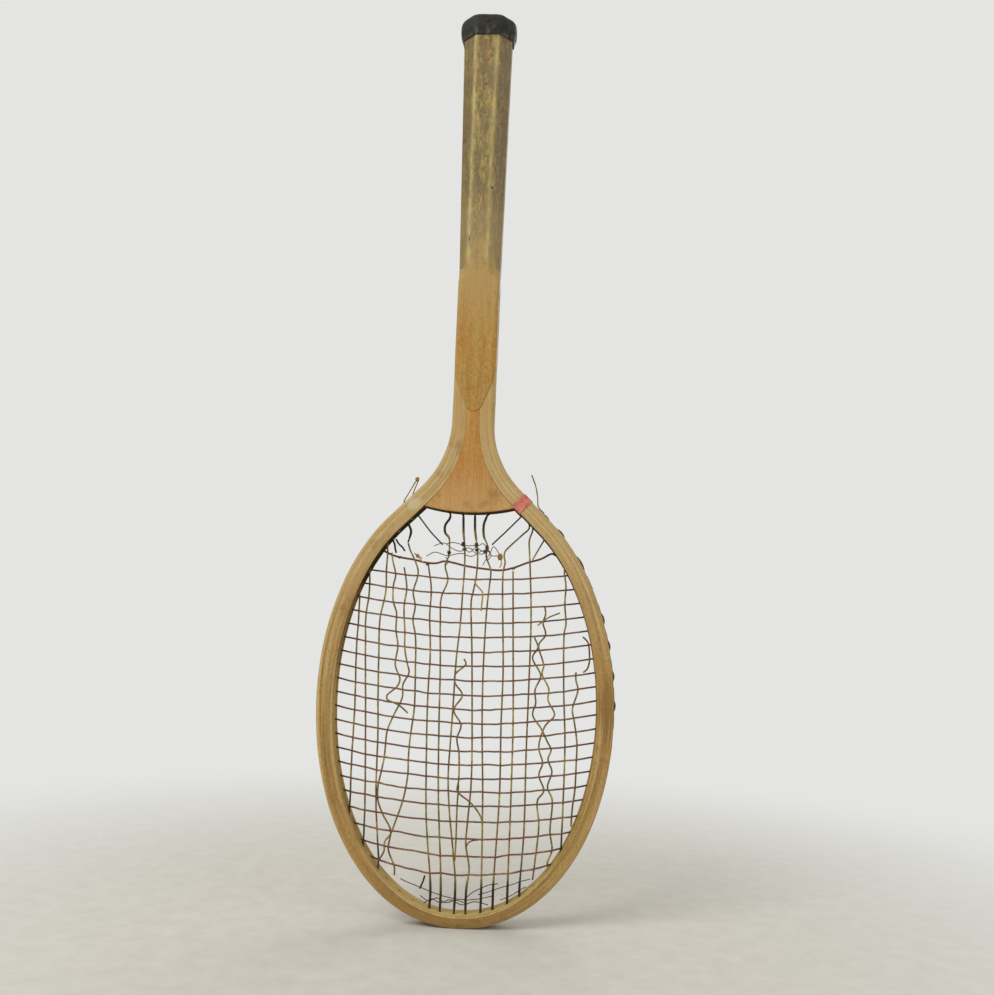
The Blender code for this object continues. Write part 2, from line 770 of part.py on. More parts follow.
def main_run(numbers):
    """One length of gut through neighbouring main holes, looped at the toe and the throat.

    The middle two mains are joined at the toe, and the joins alternate outwards from them.
    """
    points = []
    middle = MAIN_COUNT // 2
    for i, number in enumerate(numbers):
        side, toe_place, toe_line = toe_hole(number)
        _, throat_place, throat_line = throat_hole(number)
        toe = [(side * x, MAIN_PLANE, z) for x, z in toe_line]
        throat = [(side * x, MAIN_PLANE, z) for x, z in throat_line]
        run = [toe[1], toe[0], throat[0], throat[1]]
        if i == 0:
            joined_at_toe = (number - middle) % 2 == 1
            rising = not joined_at_toe
        if not rising:
            run.reverse()
        points += run
        if i + 1 < len(numbers):
            next_side, next_toe, _ = toe_hole(numbers[i + 1])
            _, next_throat, _ = throat_hole(numbers[i + 1])
            if rising:
                points += along_rail(throat_place, next_throat, GROOVE_LOOP_DEPTH, side, MAIN_PLANE)
            elif side != next_side:
                points += over_toe(toe_place, next_toe, GROOVE_LOOP_DEPTH, MAIN_PLANE)
            else:
                points += along_rail(toe_place, next_toe, GROOVE_LOOP_DEPTH, side, MAIN_PLANE)
        rising = not rising
    return rounded(points, LOOP_BEND)


def make_mains(numbers):
    def maker(shape):
        tube(shape, main_run(numbers), STRING_RADIUS, STRING_SIDES)

    return maker


def sagging(left, right, z, sag, steps):
    """Points of a slack string between two places at one height."""
    points = []
    for i in range(1, steps):
        t = 2 * i / steps - 1
        points.append((left + (right - left) * i / steps, CROSS_PLANE, z - sag * (1 - t * t)))
    return points


def make_crosses(shape):
    """The slack cross string, from side to side and looped outside the rails."""
    points = []
    for number in range(CROSS_COUNT):
        z = cross_z(number)
        place, (entry, out) = cross_hole(z, SIDE_LOOP_DEPTH)
        near_toe = max(number - CROSS_EVEN_COUNT, 0) / CROSS_WIDE_COUNT
        sag = CROSS_SAG + CROSS_EXTRA_SAG * sin(pi * number / (CROSS_COUNT - 1))
        sag += CROSS_TOE_SAG * near_toe**2
        run = [(-out[0], CROSS_PLANE, out[1]), (-entry[0], CROSS_PLANE, z)]
        run += sagging(-entry[0], entry[0], z, sag, CROSS_STEPS)
        run += [(entry[0], CROSS_PLANE, z), (out[0], CROSS_PLANE, out[1])]
        side = 1
        if number % 2:
            run.reverse()
            side = -1
        points += run
        if number + 1 < CROSS_COUNT:
            below, _ = cross_hole(cross_z(number + 1), SIDE_LOOP_DEPTH)
            points += along_rail(place, below, SIDE_LOOP_DEPTH, side, CROSS_PLANE)
    tube(shape, rounded(points, LOOP_BEND), STRING_RADIUS, STRING_SIDES)


def make_throat_cross(shape):
    """Heavy cross string under the wedge, its ends in holes through both shoulders."""
    z = CROSS_TOP + THROAT_CROSS_RISE
    _, (entry, out) = cross_hole(z, GROOVE_LOOP_DEPTH)
    points = [(-out[0], CROSS_PLANE, out[1]), (-entry[0], CROSS_PLANE, z)]
    points += sagging(-entry[0], entry[0], z, THROAT_CROSS_SAG, CROSS_STEPS)
    points += [(entry[0], CROSS_PLANE, z), (out[0], CROSS_PLANE, out[1])]
    tube(shape, points, THROAT_CROSS_RADIUS, STRING_SIDES)


def make_binding(shape):
    """A strip of tape over the front, the outside and the back of the right shoulder."""
    foot = Vector((FILLET_FOOT[0], 0, FILLET_FOOT[1]))
    inward = Vector((-sin(SHOULDER_SLOPE), 0, -cos(SHOULDER_SLOPE)))
    down = Vector((cos(SHOULDER_SLOPE), 0, -sin(SHOULDER_SLOPE)))
    reach = SIDE_WIDTH - BINDING_EDGE
    inside = []
    outside = []
    for lift, line in ((JOINT_GAP, inside), (JOINT_GAP + BINDING_THICKNESS, outside)):
        face = HALF_DEPTH + lift
        corner = OUTER_BEVEL - lift * SQUARE_CORNER
        line += [(reach, -face), (corner, -face)]
        line += [(-lift, -HALF_DEPTH + corner), (-lift, HALF_DEPTH - corner)]
        line += [(corner, face), (reach, face)]
    outline = inside + list(reversed(outside))
    rings = []
    for share in (-0.5, 0.5):
        centre = foot + down * (BINDING_PLACE + BINDING_WIDTH * share)
        rings.append([centre + inward * depth + Vector((0, y, 0)) for depth, y in outline])
    loft(shape, rings)


# Main strings that are still whole, counted from the left
MAIN_STRINGS = {
    "main_string_left": [0, 1, 2],
    "main_string_centre": [6, 7, 8, 9, 10, 11, 12, 13],
    "main_string_right": [16],
}

# Loose and broken strings. Each point is a place in the bed, counted in main strings from the left
# and in cross strings from the throat, with its layer in front of the main strings.
LOOSE_STRINGS = {
    "broken_string_left_outer": [
        (2.9, -0.7, 0), (2.8, 0.4, 0), (2.6, 1.5, 0), (2.9, 3.1, 0), (2.9, 4.4, 0),
        (3.1, 5.6, 0), (3.0, 6.9, 0), (3.4, 7.9, 1), (3.1, 8.6, 1), (2.6, 9.3, 1),
        (3.4, 9.9, 1), (4.0, 10.3, 1),
    ],
    "broken_string_left_middle": [
        (3.4, -0.2, 0), (3.6, 1.3, 0), (3.5, 2.6, 0), (3.7, 4.4, 0), (3.8, 5.8, 0),
        (4.1, 7.2, 0), (3.7, 8.4, 0), (3.6, 9.3, 0), (3.1, 10.6, 0), (2.8, 11.7, 0),
        (2.6, 13.6, 0), (2.5, 15.7, 0), (2.7, 17.4, 0), (3.2, 18.7, 0), (3.2, 20.0, 0),
        (3.5, 21.2, 0),
    ],
    "broken_string_left_inner": [
        (4.3, -0.1, 0), (4.6, 0.7, 0), (4.2, 1.8, 0), (4.3, 3.6, 0), (4.6, 5.5, 0),
        (4.7, 8.7, 0), (4.6, 10.1, 0), (4.4, 12.0, 0), (4.3, 14.7, 0), (4.1, 16.4, 0),
        (3.7, 17.9, 1), (3.1, 19.0, 1), (2.9, 20.1, 1), (2.7, 20.6, 1),
    ],
    "broken_string_centre": [
        (8.5, 6.6, 1), (7.8, 7.4, 1), (7.7, 8.0, 1), (8.3, 8.9, 1), (7.7, 10.0, 1),
        (8.3, 11.1, 1), (8.0, 12.0, 1), (8.2, 13.4, 1), (8.3, 14.9, 1), (8.4, 15.8, 1),
        (9.1, 16.4, 1), (9.8, 17.1, 1), (10.2, 18.2, 1),
    ],
    "broken_string_right_inner": [
        (14.4, 2.3, 0), (14.4, 3.5, 0), (14.5, 4.4, 0), (14.0, 5.1, 1), (14.4, 6.3, 1),
        (14.3, 7.2, 1), (14.9, 8.2, 1), (14.9, 9.0, 1), (15.3, 10.0, 1), (14.7, 10.9, 1),
        (14.3, 12.4, 1), (14.5, 13.5, 1), (14.3, 14.4, 1), (14.6, 15.5, 1), (14.3, 16.2, 0),
        (14.4, 17.9, 0), (14.2, 20.2, 0),
    ],
    "broken_string_right_outer": [
        (13.8, 4.6, 0), (14.0, 5.3, 0), (13.8, 6.0, 0), (14.3, 7.4, 0), (13.9, 8.4, 0),
        (13.9, 9.4, 0), (13.8, 10.2, 0), (14.4, 11.1, 0), (15.0, 12.3, 0), (15.0, 13.3, 0),
        (15.2, 14.1, 0), (15.0, 15.2, 0), (15.3, 16.1, 0), (15.2, 18.3, 0), (15.3, 19.6, 0),
    ],
    "slack_string_right_upper": [
        (16.7, 4.9, 0), (16.9, 5.4, 0), (17.0, 6.2, 0), (16.9, 6.9, 0), (16.7, 7.2, 0),
    ],
    "slack_string_right_lower": [
        (16.9, 7.7, 0), (17.0, 8.3, 0), (16.7, 9.7, 0), (16.8, 10.6, 0), (17.0, 12.0, 0),
        (17.0, 13.9, 0), (17.0, 15.3, 0), (16.9, 16.5, 0),
    ],
    "throat_string_left_end": [
        (3.7, -2.0, 0), (3.6, -1.8, 0), (3.7, -1.5, 0), (3.6, -1.0, 0),
    ],
    "throat_string_left": [
        (4.6, -3.5, 1), (5.2, -3.2, 1), (6.0, -2.5, 1), (6.5, -2.0, 1),
    ],
    "throat_string_right": [
        (12.2, -3.7, 1), (11.0, -2.7, 1), (10.0, -2.0, 1),
    ],
    "throat_string_right_end": [
        (14.1, -2.1, 0), (13.5, -1.2, 0),
    ],
    "toe_string_end": [
        (5.5, 22.2, 1), (5.8, 21.6, 1), (5.9, 21.2, 1),
    ],
}


def make_loose(places):
    def maker(shape):
        points = []
        for main, cross, layer in places:
            points.append((main_x(main), MAIN_PLANE - LAYER * layer, cross_z(cross)))
        tube(shape, points, STRING_RADIUS, STRING_SIDES)

    return maker


# How far back into its hole a cut end reaches, as a share of the hole's length
END_HOLD = 0.4

# Cut ends that stand out of the shoulders' outer holes: the string's number, and how far the end
# leans across and rises from the hole, point by point.
LOOSE_ENDS = {
    "loose_end_left": (4, [(0.0010, 0.0045), (0.0045, 0.0105), (0.0075, 0.0155)]),
    "loose_end_right": (14, [(0.0015, 0.0050), (0.0005, 0.0120), (-0.0030, 0.0220)]),
}


def make_loose_end(number, rises):
    def maker(shape):
        side, _, (entry, out) = throat_hole(number)
        start = Vector((side * out[0], MAIN_PLANE, out[1]))
        back = Vector((side * entry[0], MAIN_PLANE, entry[1]))
        points = [start.lerp(back, END_HOLD), start]
        for across, rise in rises:
            points.append(start + Vector((across, 0, rise)))
        tube(shape, points, STRING_RADIUS, STRING_SIDES)

    return maker


def build():
    clear_scene()
    racket = bpy.data.objects.new("racket", None)
    bpy.context.scene.collection.objects.link(racket)

    hoop = add_object("hoop", make_hoop, ASH, racket)
    wedge = add_object("throat_wedge", make_wedge, WEDGE_WOOD, racket)
    throat_holes = add_object("throat_hole_cutter", make_throat_holes, ASH, racket)
    cut(hoop, throat_holes)
    cut(wedge, throat_holes)
    cut(hoop, add_object("toe_hole_cutter", make_toe_holes, ASH, racket))
    cut(hoop, add_object("cross_hole_cutter", make_cross_holes, ASH, racket))

    add_object("handle_core", make_core, CORE_WOOD, racket)
    add_object("grip_front_cheek", make_cheek(-1), CHEEK_WOOD, racket)
    add_object("grip_back_cheek", make_cheek(1), CHEEK_WOOD, racket)
    add_object("butt_cap", make_cap, CAP_LEATHER, racket)
    for where, turn in (("front", -pi / 2), ("back", pi / 2)):
        tack = add_object("cap_tack_" + where, make_tack, TACK_METAL, racket, smooth=True)
        place_tack(tack, turn)

    add_object("cross_string", make_crosses, GUT, racket, smooth=True)
    for name, numbers in MAIN_STRINGS.items():
        add_object(name, make_mains(numbers), GUT, racket, smooth=True)
    add_object("throat_cross_string", make_throat_cross, RED_GUT, racket, smooth=True)
    for name, places in LOOSE_STRINGS.items():
        add_object(name, make_loose(places), GUT, racket, smooth=True)
    for name, (number, rises) in LOOSE_ENDS.items():
        add_object(name, make_loose_end(number, rises), GUT, racket, smooth=True)
    add_object("shoulder_binding", make_binding, TAPE, racket)


build()
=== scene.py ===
"""Looks of the wooden racket: camera, light, finer wood, woven gut, leather and tape."""

from math import atan2, copysign, cos, pi, radians, sin, sqrt, tan

import bmesh
import bpy
import numpy as np
from mathutils import Matrix, Vector
from mathutils.noise import noise


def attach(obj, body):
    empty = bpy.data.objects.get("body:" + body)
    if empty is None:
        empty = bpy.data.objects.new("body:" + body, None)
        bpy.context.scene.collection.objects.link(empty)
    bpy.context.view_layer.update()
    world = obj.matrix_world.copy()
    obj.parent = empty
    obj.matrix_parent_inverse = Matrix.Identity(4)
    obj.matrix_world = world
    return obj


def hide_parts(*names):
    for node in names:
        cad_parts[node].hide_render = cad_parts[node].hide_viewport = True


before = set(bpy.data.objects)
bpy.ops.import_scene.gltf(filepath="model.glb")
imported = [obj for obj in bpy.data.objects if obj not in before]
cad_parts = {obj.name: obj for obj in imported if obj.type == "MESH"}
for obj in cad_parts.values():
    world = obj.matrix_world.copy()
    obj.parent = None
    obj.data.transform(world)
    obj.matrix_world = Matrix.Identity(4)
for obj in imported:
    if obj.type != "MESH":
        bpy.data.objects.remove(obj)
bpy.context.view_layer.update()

MM = 0.001


# Camera

PHOTO_WIDTH = 994.0
FOCAL_PIXELS = 960.0
SENSOR_WIDTH = 36.0
CAMERA_PLACE = (0.05332, -0.71214, 0.21270)
CAMERA_YAW = radians(2.792)
CAMERA_PITCH = radians(7.477)
CAMERA_ROLL = radians(1.908)


def added(name, data):
    """A new object in the scene."""
    made = bpy.data.objects.new(name, data)
    bpy.context.scene.collection.objects.link(made)
    return made


def add_camera():
    """A camera at the photograph's place, turned by yaw, pitch and roll."""
    yaw, pitch, roll = CAMERA_YAW, CAMERA_PITCH, CAMERA_ROLL
    forward = Vector((-sin(yaw) * cos(pitch), cos(yaw) * cos(pitch), sin(pitch)))
    level = Vector((cos(yaw), sin(yaw), 0))
    above = level.cross(forward)
    right = level * cos(roll) + above * sin(roll)
    up = above * cos(roll) - level * sin(roll)
    lens = bpy.data.cameras.new("camera")
    lens.sensor_fit = "HORIZONTAL"
    lens.sensor_width = SENSOR_WIDTH
    lens.lens = SENSOR_WIDTH * FOCAL_PIXELS / PHOTO_WIDTH
    lens.clip_start = 0.01
    lens.clip_end = 60.0
    camera = added("camera", lens)
    turned = Matrix((right, up, -forward)).transposed().to_4x4()
    camera.matrix_world = Matrix.Translation(CAMERA_PLACE) @ turned
    bpy.context.scene.camera = camera


add_camera()


# Sizes shared with the CAD model

OVERALL_LENGTH = 0.6870
HALF_DEPTH = 0.0095
GAP = 0.0003
HEAD_HALF_WIDTH = 0.1078
HEAD_LOWER_HEIGHT = 0.1550
HEAD_UPPER_HEIGHT = 0.1608
TOE_POWER = 0.966
SHOULDER_SLOPE = radians(45.0)
SHOULDER_FILLET = 0.0730
SHAFT_HALF_WIDTH = 0.0156
TOE_WIDTH = 0.0080
SIDE_WIDTH = 0.0122
THROAT_WIDTH = 0.0122
LEG_WIDTH = 0.0106
OUTER_BEVEL = 0.0020
INNER_BEVEL = 0.0010
SHAFT_BEVEL = 0.0009
GROOVE_HALF_WIDTH = 0.0030
GROOVE_DEPTH = 0.0018
GROOVE_SHARE = 1 / 6
WEDGE_EDGE_HEIGHT = 0.2935
WEDGE_EDGE_RADIUS = 0.1380
WEDGE_TAIL_HEIGHT = 0.5000
CHEEK_TIP = 0.3700
TONGUE_LENGTH = 0.0380
TONGUE_TIP_LENGTH = 0.0055
TONGUE_HALF_WIDTH = 0.0062
TONGUE_THICKNESS = 0.0005
CHEEK_FULL = CHEEK_TIP + TONGUE_LENGTH
GRIP_START = 0.4770
GRIP_STOP = 0.4700
PAST_START = 0.0004
GRIP_START_HALF_DEPTH = 0.0140
GRIP_START_CORNER = 0.0067
GRIP_END_HALF_WIDTH = 0.0190
GRIP_END_HALF_DEPTH = 0.0148
GRIP_END_CORNER = 0.0096
CAP_EDGE = 0.6702
WOOD_TOP = 0.6842
CAP_WALL = 0.0009
CAP_FLARE = 0.0021
CAP_FLARE_HEIGHT = 0.0085
CAP_ROUNDING_HEIGHT = 0.0045
CAP_ROUNDING_WIDTH = 0.0030
CORNER_GROWTH = 2 - sqrt(2)
TACK_RADIUS = 0.0017
TACK_HEIGHT = 0.0104
STRING_RADIUS = 0.00065
MAIN_PLANE = -0.00135
CROSS_PLANE = 0.00135
HOLE_RADIUS = 0.00115
GROOVE_LOOP = 0.00085
SIDE_LOOP = -0.00020
MAIN_COUNT = 18
MAIN_MIDDLE = (MAIN_COUNT - 1) / 2
MAIN_PITCH = 0.00953
CROSS_COUNT = 21
CROSS_WIDE_COUNT = 4
CROSS_WIDENING = 1.14
CROSS_TOP = 0.2495
CROSS_BOTTOM = 0.0440
THROAT_CROSS_Z = CROSS_TOP + 0.0145
SEAM = 0.00006
CHEEK_BASE = HALF_DEPTH + SEAM
RAIL_STEPS = (400, 60, 60)


def clamped(t):
    """A number, kept between 0 and 1."""
    return min(max(t, 0.0), 1.0)


def ease(t):
    """From 0 to 1 with a soft start and end."""
    t = clamped(t)
    return t * t * (3 - 2 * t)


def mix(a, b, t):
    """The value at a share of the way from one to the other."""
    return a + (b - a) * t


def quarter(turns):
    """Shares of a quarter turn, each with how far its point lies in from the arc's two faces."""
    return [(turn, 1 - sin(turn * pi / 2), 1 - cos(turn * pi / 2)) for turn in turns]


def distances(line):
    """How far along a line in a plane each of its points lies."""
    return np.concatenate([[0.0], np.cumsum(np.hypot(*np.diff(line, axis=0).T))])


def wander(place, scale, seed):
    """Smooth noise between -1 and 1 along a line, another for each seed."""
    return noise(Vector((place * scale, seed * 7.31, 0.37)))


def along_grip(z, start, end):
    """A size of the handle: the same up the shaft, then changing evenly along the grip."""
    return mix(start, end, clamped((z - GRIP_START) / (CAP_EDGE - GRIP_START)))


def grip_half(z):
    return along_grip(z, SHAFT_HALF_WIDTH, GRIP_END_HALF_WIDTH)


def grip_depth(z):
    return along_grip(z, GRIP_START_HALF_DEPTH, GRIP_END_HALF_DEPTH)


def grip_corner(z):
    return along_grip(z, GRIP_START_CORNER, GRIP_END_CORNER)


WARP_HEIGHTS = (0.0, 0.030, 0.155, 0.260, 0.300, 0.360, 0.480)
WARP_SHIFTS = (0.0013, 0.0013, 0.0002, -0.0008, -0.0012, -0.0010, 0.0)
WARP_STEPS = (-0.012, -0.006, 0.0, 0.006, 0.012)


def warp(z):
    """How far the old racket has warped sideways at a height: only its head leans."""
    return float(np.mean([np.interp(z + step, WARP_HEIGHTS, WARP_SHIFTS) for step in WARP_STEPS]))


def unwarped(points):
    """Places measured on the warped racket, in millimetres, moved back to where it was straight."""
    return [(x * MM - warp(z * MM), z * MM, *layer) for x, z, *layer in points]


# The rail of the hoop

SHOULDER_TURN = atan2(HEAD_UPPER_HEIGHT, HEAD_HALF_WIDTH * tan(SHOULDER_SLOPE))
SHOULDER_X = HEAD_HALF_WIDTH * cos(SHOULDER_TURN)
SHOULDER_Z = HEAD_LOWER_HEIGHT + HEAD_UPPER_HEIGHT * sin(SHOULDER_TURN)
FILLET_X = SHAFT_HALF_WIDTH + SHOULDER_FILLET
FILLET_Z = SHOULDER_Z + (
    SHOULDER_FILLET - (FILLET_X - SHOULDER_X) * sin(SHOULDER_SLOPE)
) / cos(SHOULDER_SLOPE)
FILLET_FOOT = (
    FILLET_X - SHOULDER_FILLET * sin(SHOULDER_SLOPE),
    FILLET_Z - SHOULDER_FILLET * cos(SHOULDER_SLOPE),
)


class Station:
    """A place on the right-hand rail: outer point, direction inwards, width, groove and bevel."""

    def __init__(self, x, z, inward, width, groove, bevel, squared=0.0):
        length = sqrt(inward[0] ** 2 + inward[1] ** 2)
        self.x = x
        self.z = z
        self.inward = (inward[0] / length, inward[1] / length)
        self.width = width
        self.groove = groove
        self.bevel = bevel
        self.squared = squared

    def at(self, depth):
        return (self.x + self.inward[0] * depth, self.z + self.inward[1] * depth)


def head_stations(head_steps, shoulder_steps, fillet_steps):
    """The right-hand rail from the middle of the toe to the top of the shoulder's fillet."""
    stations = []
    for i in range(head_steps):
        turn = -pi / 2 + (SHOULDER_TURN + pi / 2) * i / head_steps
        height = HEAD_LOWER_HEIGHT if turn < 0 else HEAD_UPPER_HEIGHT
        power = TOE_POWER if turn < 0 else 1.0
        width = mix(TOE_WIDTH, SIDE_WIDTH, ease(1 + turn / (pi / 2)))
        x = HEAD_HALF_WIDTH * cos(turn) ** power
        z = HEAD_LOWER_HEIGHT + height * copysign(abs(sin(turn)) ** power, turn)
        steepness = copysign(abs(sin(turn)) ** (2 - power), turn)
        inward = (-height * cos(turn) ** (2 - power), -HEAD_HALF_WIDTH * steepness)
        stations.append(Station(x, z, inward, width, GROOVE_DEPTH, OUTER_BEVEL))
    slope = (-sin(SHOULDER_SLOPE), -cos(SHOULDER_SLOPE))
    for i in range(shoulder_steps):
        share = i / shoulder_steps
        x = mix(SHOULDER_X, FILLET_FOOT[0], share)
        z = mix(SHOULDER_Z, FILLET_FOOT[1], share)
        width = mix(SIDE_WIDTH, THROAT_WIDTH, share)
        stations.append(Station(x, z, slope, width, GROOVE_DEPTH, OUTER_BEVEL))
    for i in range(fillet_steps + 1):
        share = i / fillet_steps
        turn = (pi / 2 - SHOULDER_SLOPE) * (1 - share)
        spoke = (-cos(turn), -sin(turn))
        x = FILLET_X + SHOULDER_FILLET * spoke[0]
        z = FILLET_Z + SHOULDER_FILLET * spoke[1]
        width = mix(THROAT_WIDTH, LEG_WIDTH, ease(share))
        groove = GROOVE_DEPTH * (1 - ease(2 * (share - GROOVE_SHARE)))
        stations.append(Station(x, z, spoke, width, groove, OUTER_BEVEL))
    return stations


def leg_bevel(z):
    """The bevel of a leg's corner, and how far it is cut flat as a face of the octagon."""
    cut = HALF_DEPTH - grip_depth(z) + grip_corner(z)
    if z >= GRIP_START:
        return cut, 1.0
    if z >= GRIP_STOP:
        share = ease((z - GRIP_STOP) / (GRIP_START - GRIP_STOP))
        return mix(SHAFT_BEVEL, cut, share), share
    cheeks = ease((z - CHEEK_TIP) / (CHEEK_FULL - CHEEK_TIP))
    return mix(OUTER_BEVEL, SHAFT_BEVEL, cheeks), 0.0


def rail_stations(head_steps, shoulder_steps, fillet_steps, leg_step):
    """The right-hand rail and leg, from the middle of the toe to the butt."""
    stations = head_stations(head_steps, shoulder_steps, fillet_steps)
    heights = list(np.arange(FILLET_Z + leg_step, WOOD_TOP, leg_step))
    heights += [GRIP_STOP, GRIP_START, GRIP_START + PAST_START, WOOD_TOP]
    for z in sorted(heights):
        bevel, squared = leg_bevel(z)
        stations.append(Station(grip_half(z), z, (-1, 0), LEG_WIDTH, 0.0, bevel, squared))
    return stations


class Route:
    """Smooth outer line of the right-hand rail, for laying out holes and strings."""

    def __init__(self):
        stations = head_stations(*RAIL_STEPS)
        self.outer = np.array([(s.x, s.z) for s in stations])
        self.inward = np.array([s.inward for s in stations])
        self.width = np.array([s.width for s in stations])
        self.length = distances(self.outer)
        self.widest = float(self.length[np.argmax(self.outer[:, 0])])
        self.foot = float(self.length[RAIL_STEPS[0] + RAIL_STEPS[1]])

    def line(self, depth):
        """The rail's line at a depth below its outer face, or at its inner face for None."""
        inset = self.width if depth is None else np.full(len(self.width), depth)
        return self.outer + self.inward * inset[:, None]

    def at(self, place, depth):
        """The point at a distance along the rail from the toe."""
        line = self.line(depth)
        return tuple(float(np.interp(place, self.length, line[:, axis])) for axis in (0, 1))

    def crossing(self, axis, value, depth, upper):
        """The distance along the rail where it is that far across (axis 0) or up (axis 1)."""
        line = self.line(depth)[:, axis] - value
        for i in range(len(line) - 1):
            if (self.length[i] >= self.widest) != upper:
                continue
            if line[i] == line[i + 1] or line[i] * line[i + 1] > 0:
                continue
            share = line[i] / (line[i] - line[i + 1])
            return float(mix(self.length[i], self.length[i + 1], share))
        raise ValueError("no place on the rail at %.4f" % value)


RAIL = Route()


def wedge_edge(x):
    """Height of the wedge's curved lower edge."""
    return WEDGE_EDGE_HEIGHT + WEDGE_EDGE_RADIUS - sqrt(WEDGE_EDGE_RADIUS**2 - x**2)


# Mesh helpers

SHARP_EDGE = 35.0


def finished(name, shape, material, sharp=SHARP_EDGE, inner=None):
    """An object from a bmesh, shaded smooth except over its sharp edges."""
    bmesh.ops.recalc_face_normals(shape, faces=shape.faces)
    mesh = bpy.data.meshes.new(name)
    shape.to_mesh(mesh)
    shape.free()
    mesh.materials.append(material)
    if inner:
        mesh.materials.append(inner)
    mesh.shade_smooth()
    mesh.set_sharp_from_angle(angle=radians(sharp))
    return added(name, mesh)


class Skin:
    """A mesh with two maps: along and across the grain, and through it with a mark for wear, or for
    painted shade where it is negative.
    """

    def __init__(self):
        self.shape = bmesh.new()
        self.grain = self.shape.loops.layers.uv.new("grain")
        self.face = self.shape.loops.layers.uv.new("face")
        self.maps = {}
        self.inner = set()

    def vert(self, point, grain, face):
        made = self.shape.verts.new(point)
        self.maps[made] = (grain, face)
        return made

    def quad(self, *verts):
        """A face, in the second material where all its corners are inner ones."""
        made = self.shape.faces.new(verts)
        for loop in made.loops:
            loop[self.grain].uv, loop[self.face].uv = self.maps[loop.vert]
        if self.inner.issuperset(verts):
            made.material_index = 1

    def loft(self, rings, caps=True):
        """Faces between closed rings, and over the first and last one."""
        for low, high in zip(rings, rings[1:]):
            for i in range(len(low)):
                j = (i + 1) % len(low)
                self.quad(low[i], low[j], high[j], high[i])
        if caps:
            self.quad(*reversed(rings[0]))
            self.quad(*rings[-1])


def settled(piece, slot, *nodes):
    """Warps a piece with the racket, puts it on the body and hides the CAD parts that it stands
    for.
    """
    for spot in piece.data.vertices:
        spot.co.x += warp(spot.co.z)
    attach(piece, "root")
    if nodes:
        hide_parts(*nodes)


def drilled(piece, cutter):
    """Cuts holes into a piece for good."""
    modifier = piece.modifiers.new("holes", "BOOLEAN")
    modifier.operation = "DIFFERENCE"
    modifier.solver = "EXACT"
    modifier.object = cutter
    graph = bpy.context.evaluated_depsgraph_get()
    mesh = bpy.data.meshes.new_from_object(piece.evaluated_get(graph))
    piece.modifiers.clear()
    old = piece.data
    piece.data = mesh
    mesh.name = old.name
    bpy.data.meshes.remove(old)
    mesh.shade_smooth()
    mesh.set_sharp_from_angle(angle=radians(SHARP_EDGE))


def sweep(skin, points, radius, sides, marks=None, swell=False):
    """A closed tube along a line, with frames carried along so that it doesn't twist."""
    points = [Vector(point) for point in points]
    along = 0.0
    side = None
    rings = []
    for i, point in enumerate(points):
        before = point - points[i - 1] if i else points[1] - point
        after = points[i + 1] - point if i + 1 < len(points) else before
        tangent = (before.normalized() + after.normalized()).normalized()
        if i:
            along += before.length
        if side is None:
            side = tangent.orthogonal().normalized()
        side = (side - tangent * side.dot(tangent)).normalized()
        up = tangent.cross(side)
        size = radius * swollen(point.x, point.z) if swell else radius
        mark = marks[i] if marks else (0.0, 0.0)
        ring = []
        for k in range(sides):
            angle = 2 * pi * k / sides
            spot = point + (side * cos(angle) + up * sin(angle)) * size
            ring.append(skin.vert(spot, (along, k / sides), mark))
        rings.append(ring)
    skin.loft(rings)


# Material helpers

def linear(red, green, blue):
    """A colour given as it shows on a screen, from 0 to 255."""
    made = []
    for part in (red, green, blue):
        part = part / 255
        made.append(part / 12.92 if part <= 0.04045 else ((part + 0.055) / 1.055) ** 2.4)
    return (*made, 1.0)


def palette(*shades):
    """Several colours, each given as it shows on a screen."""
    return tuple(linear(*shade) for shade in shades)


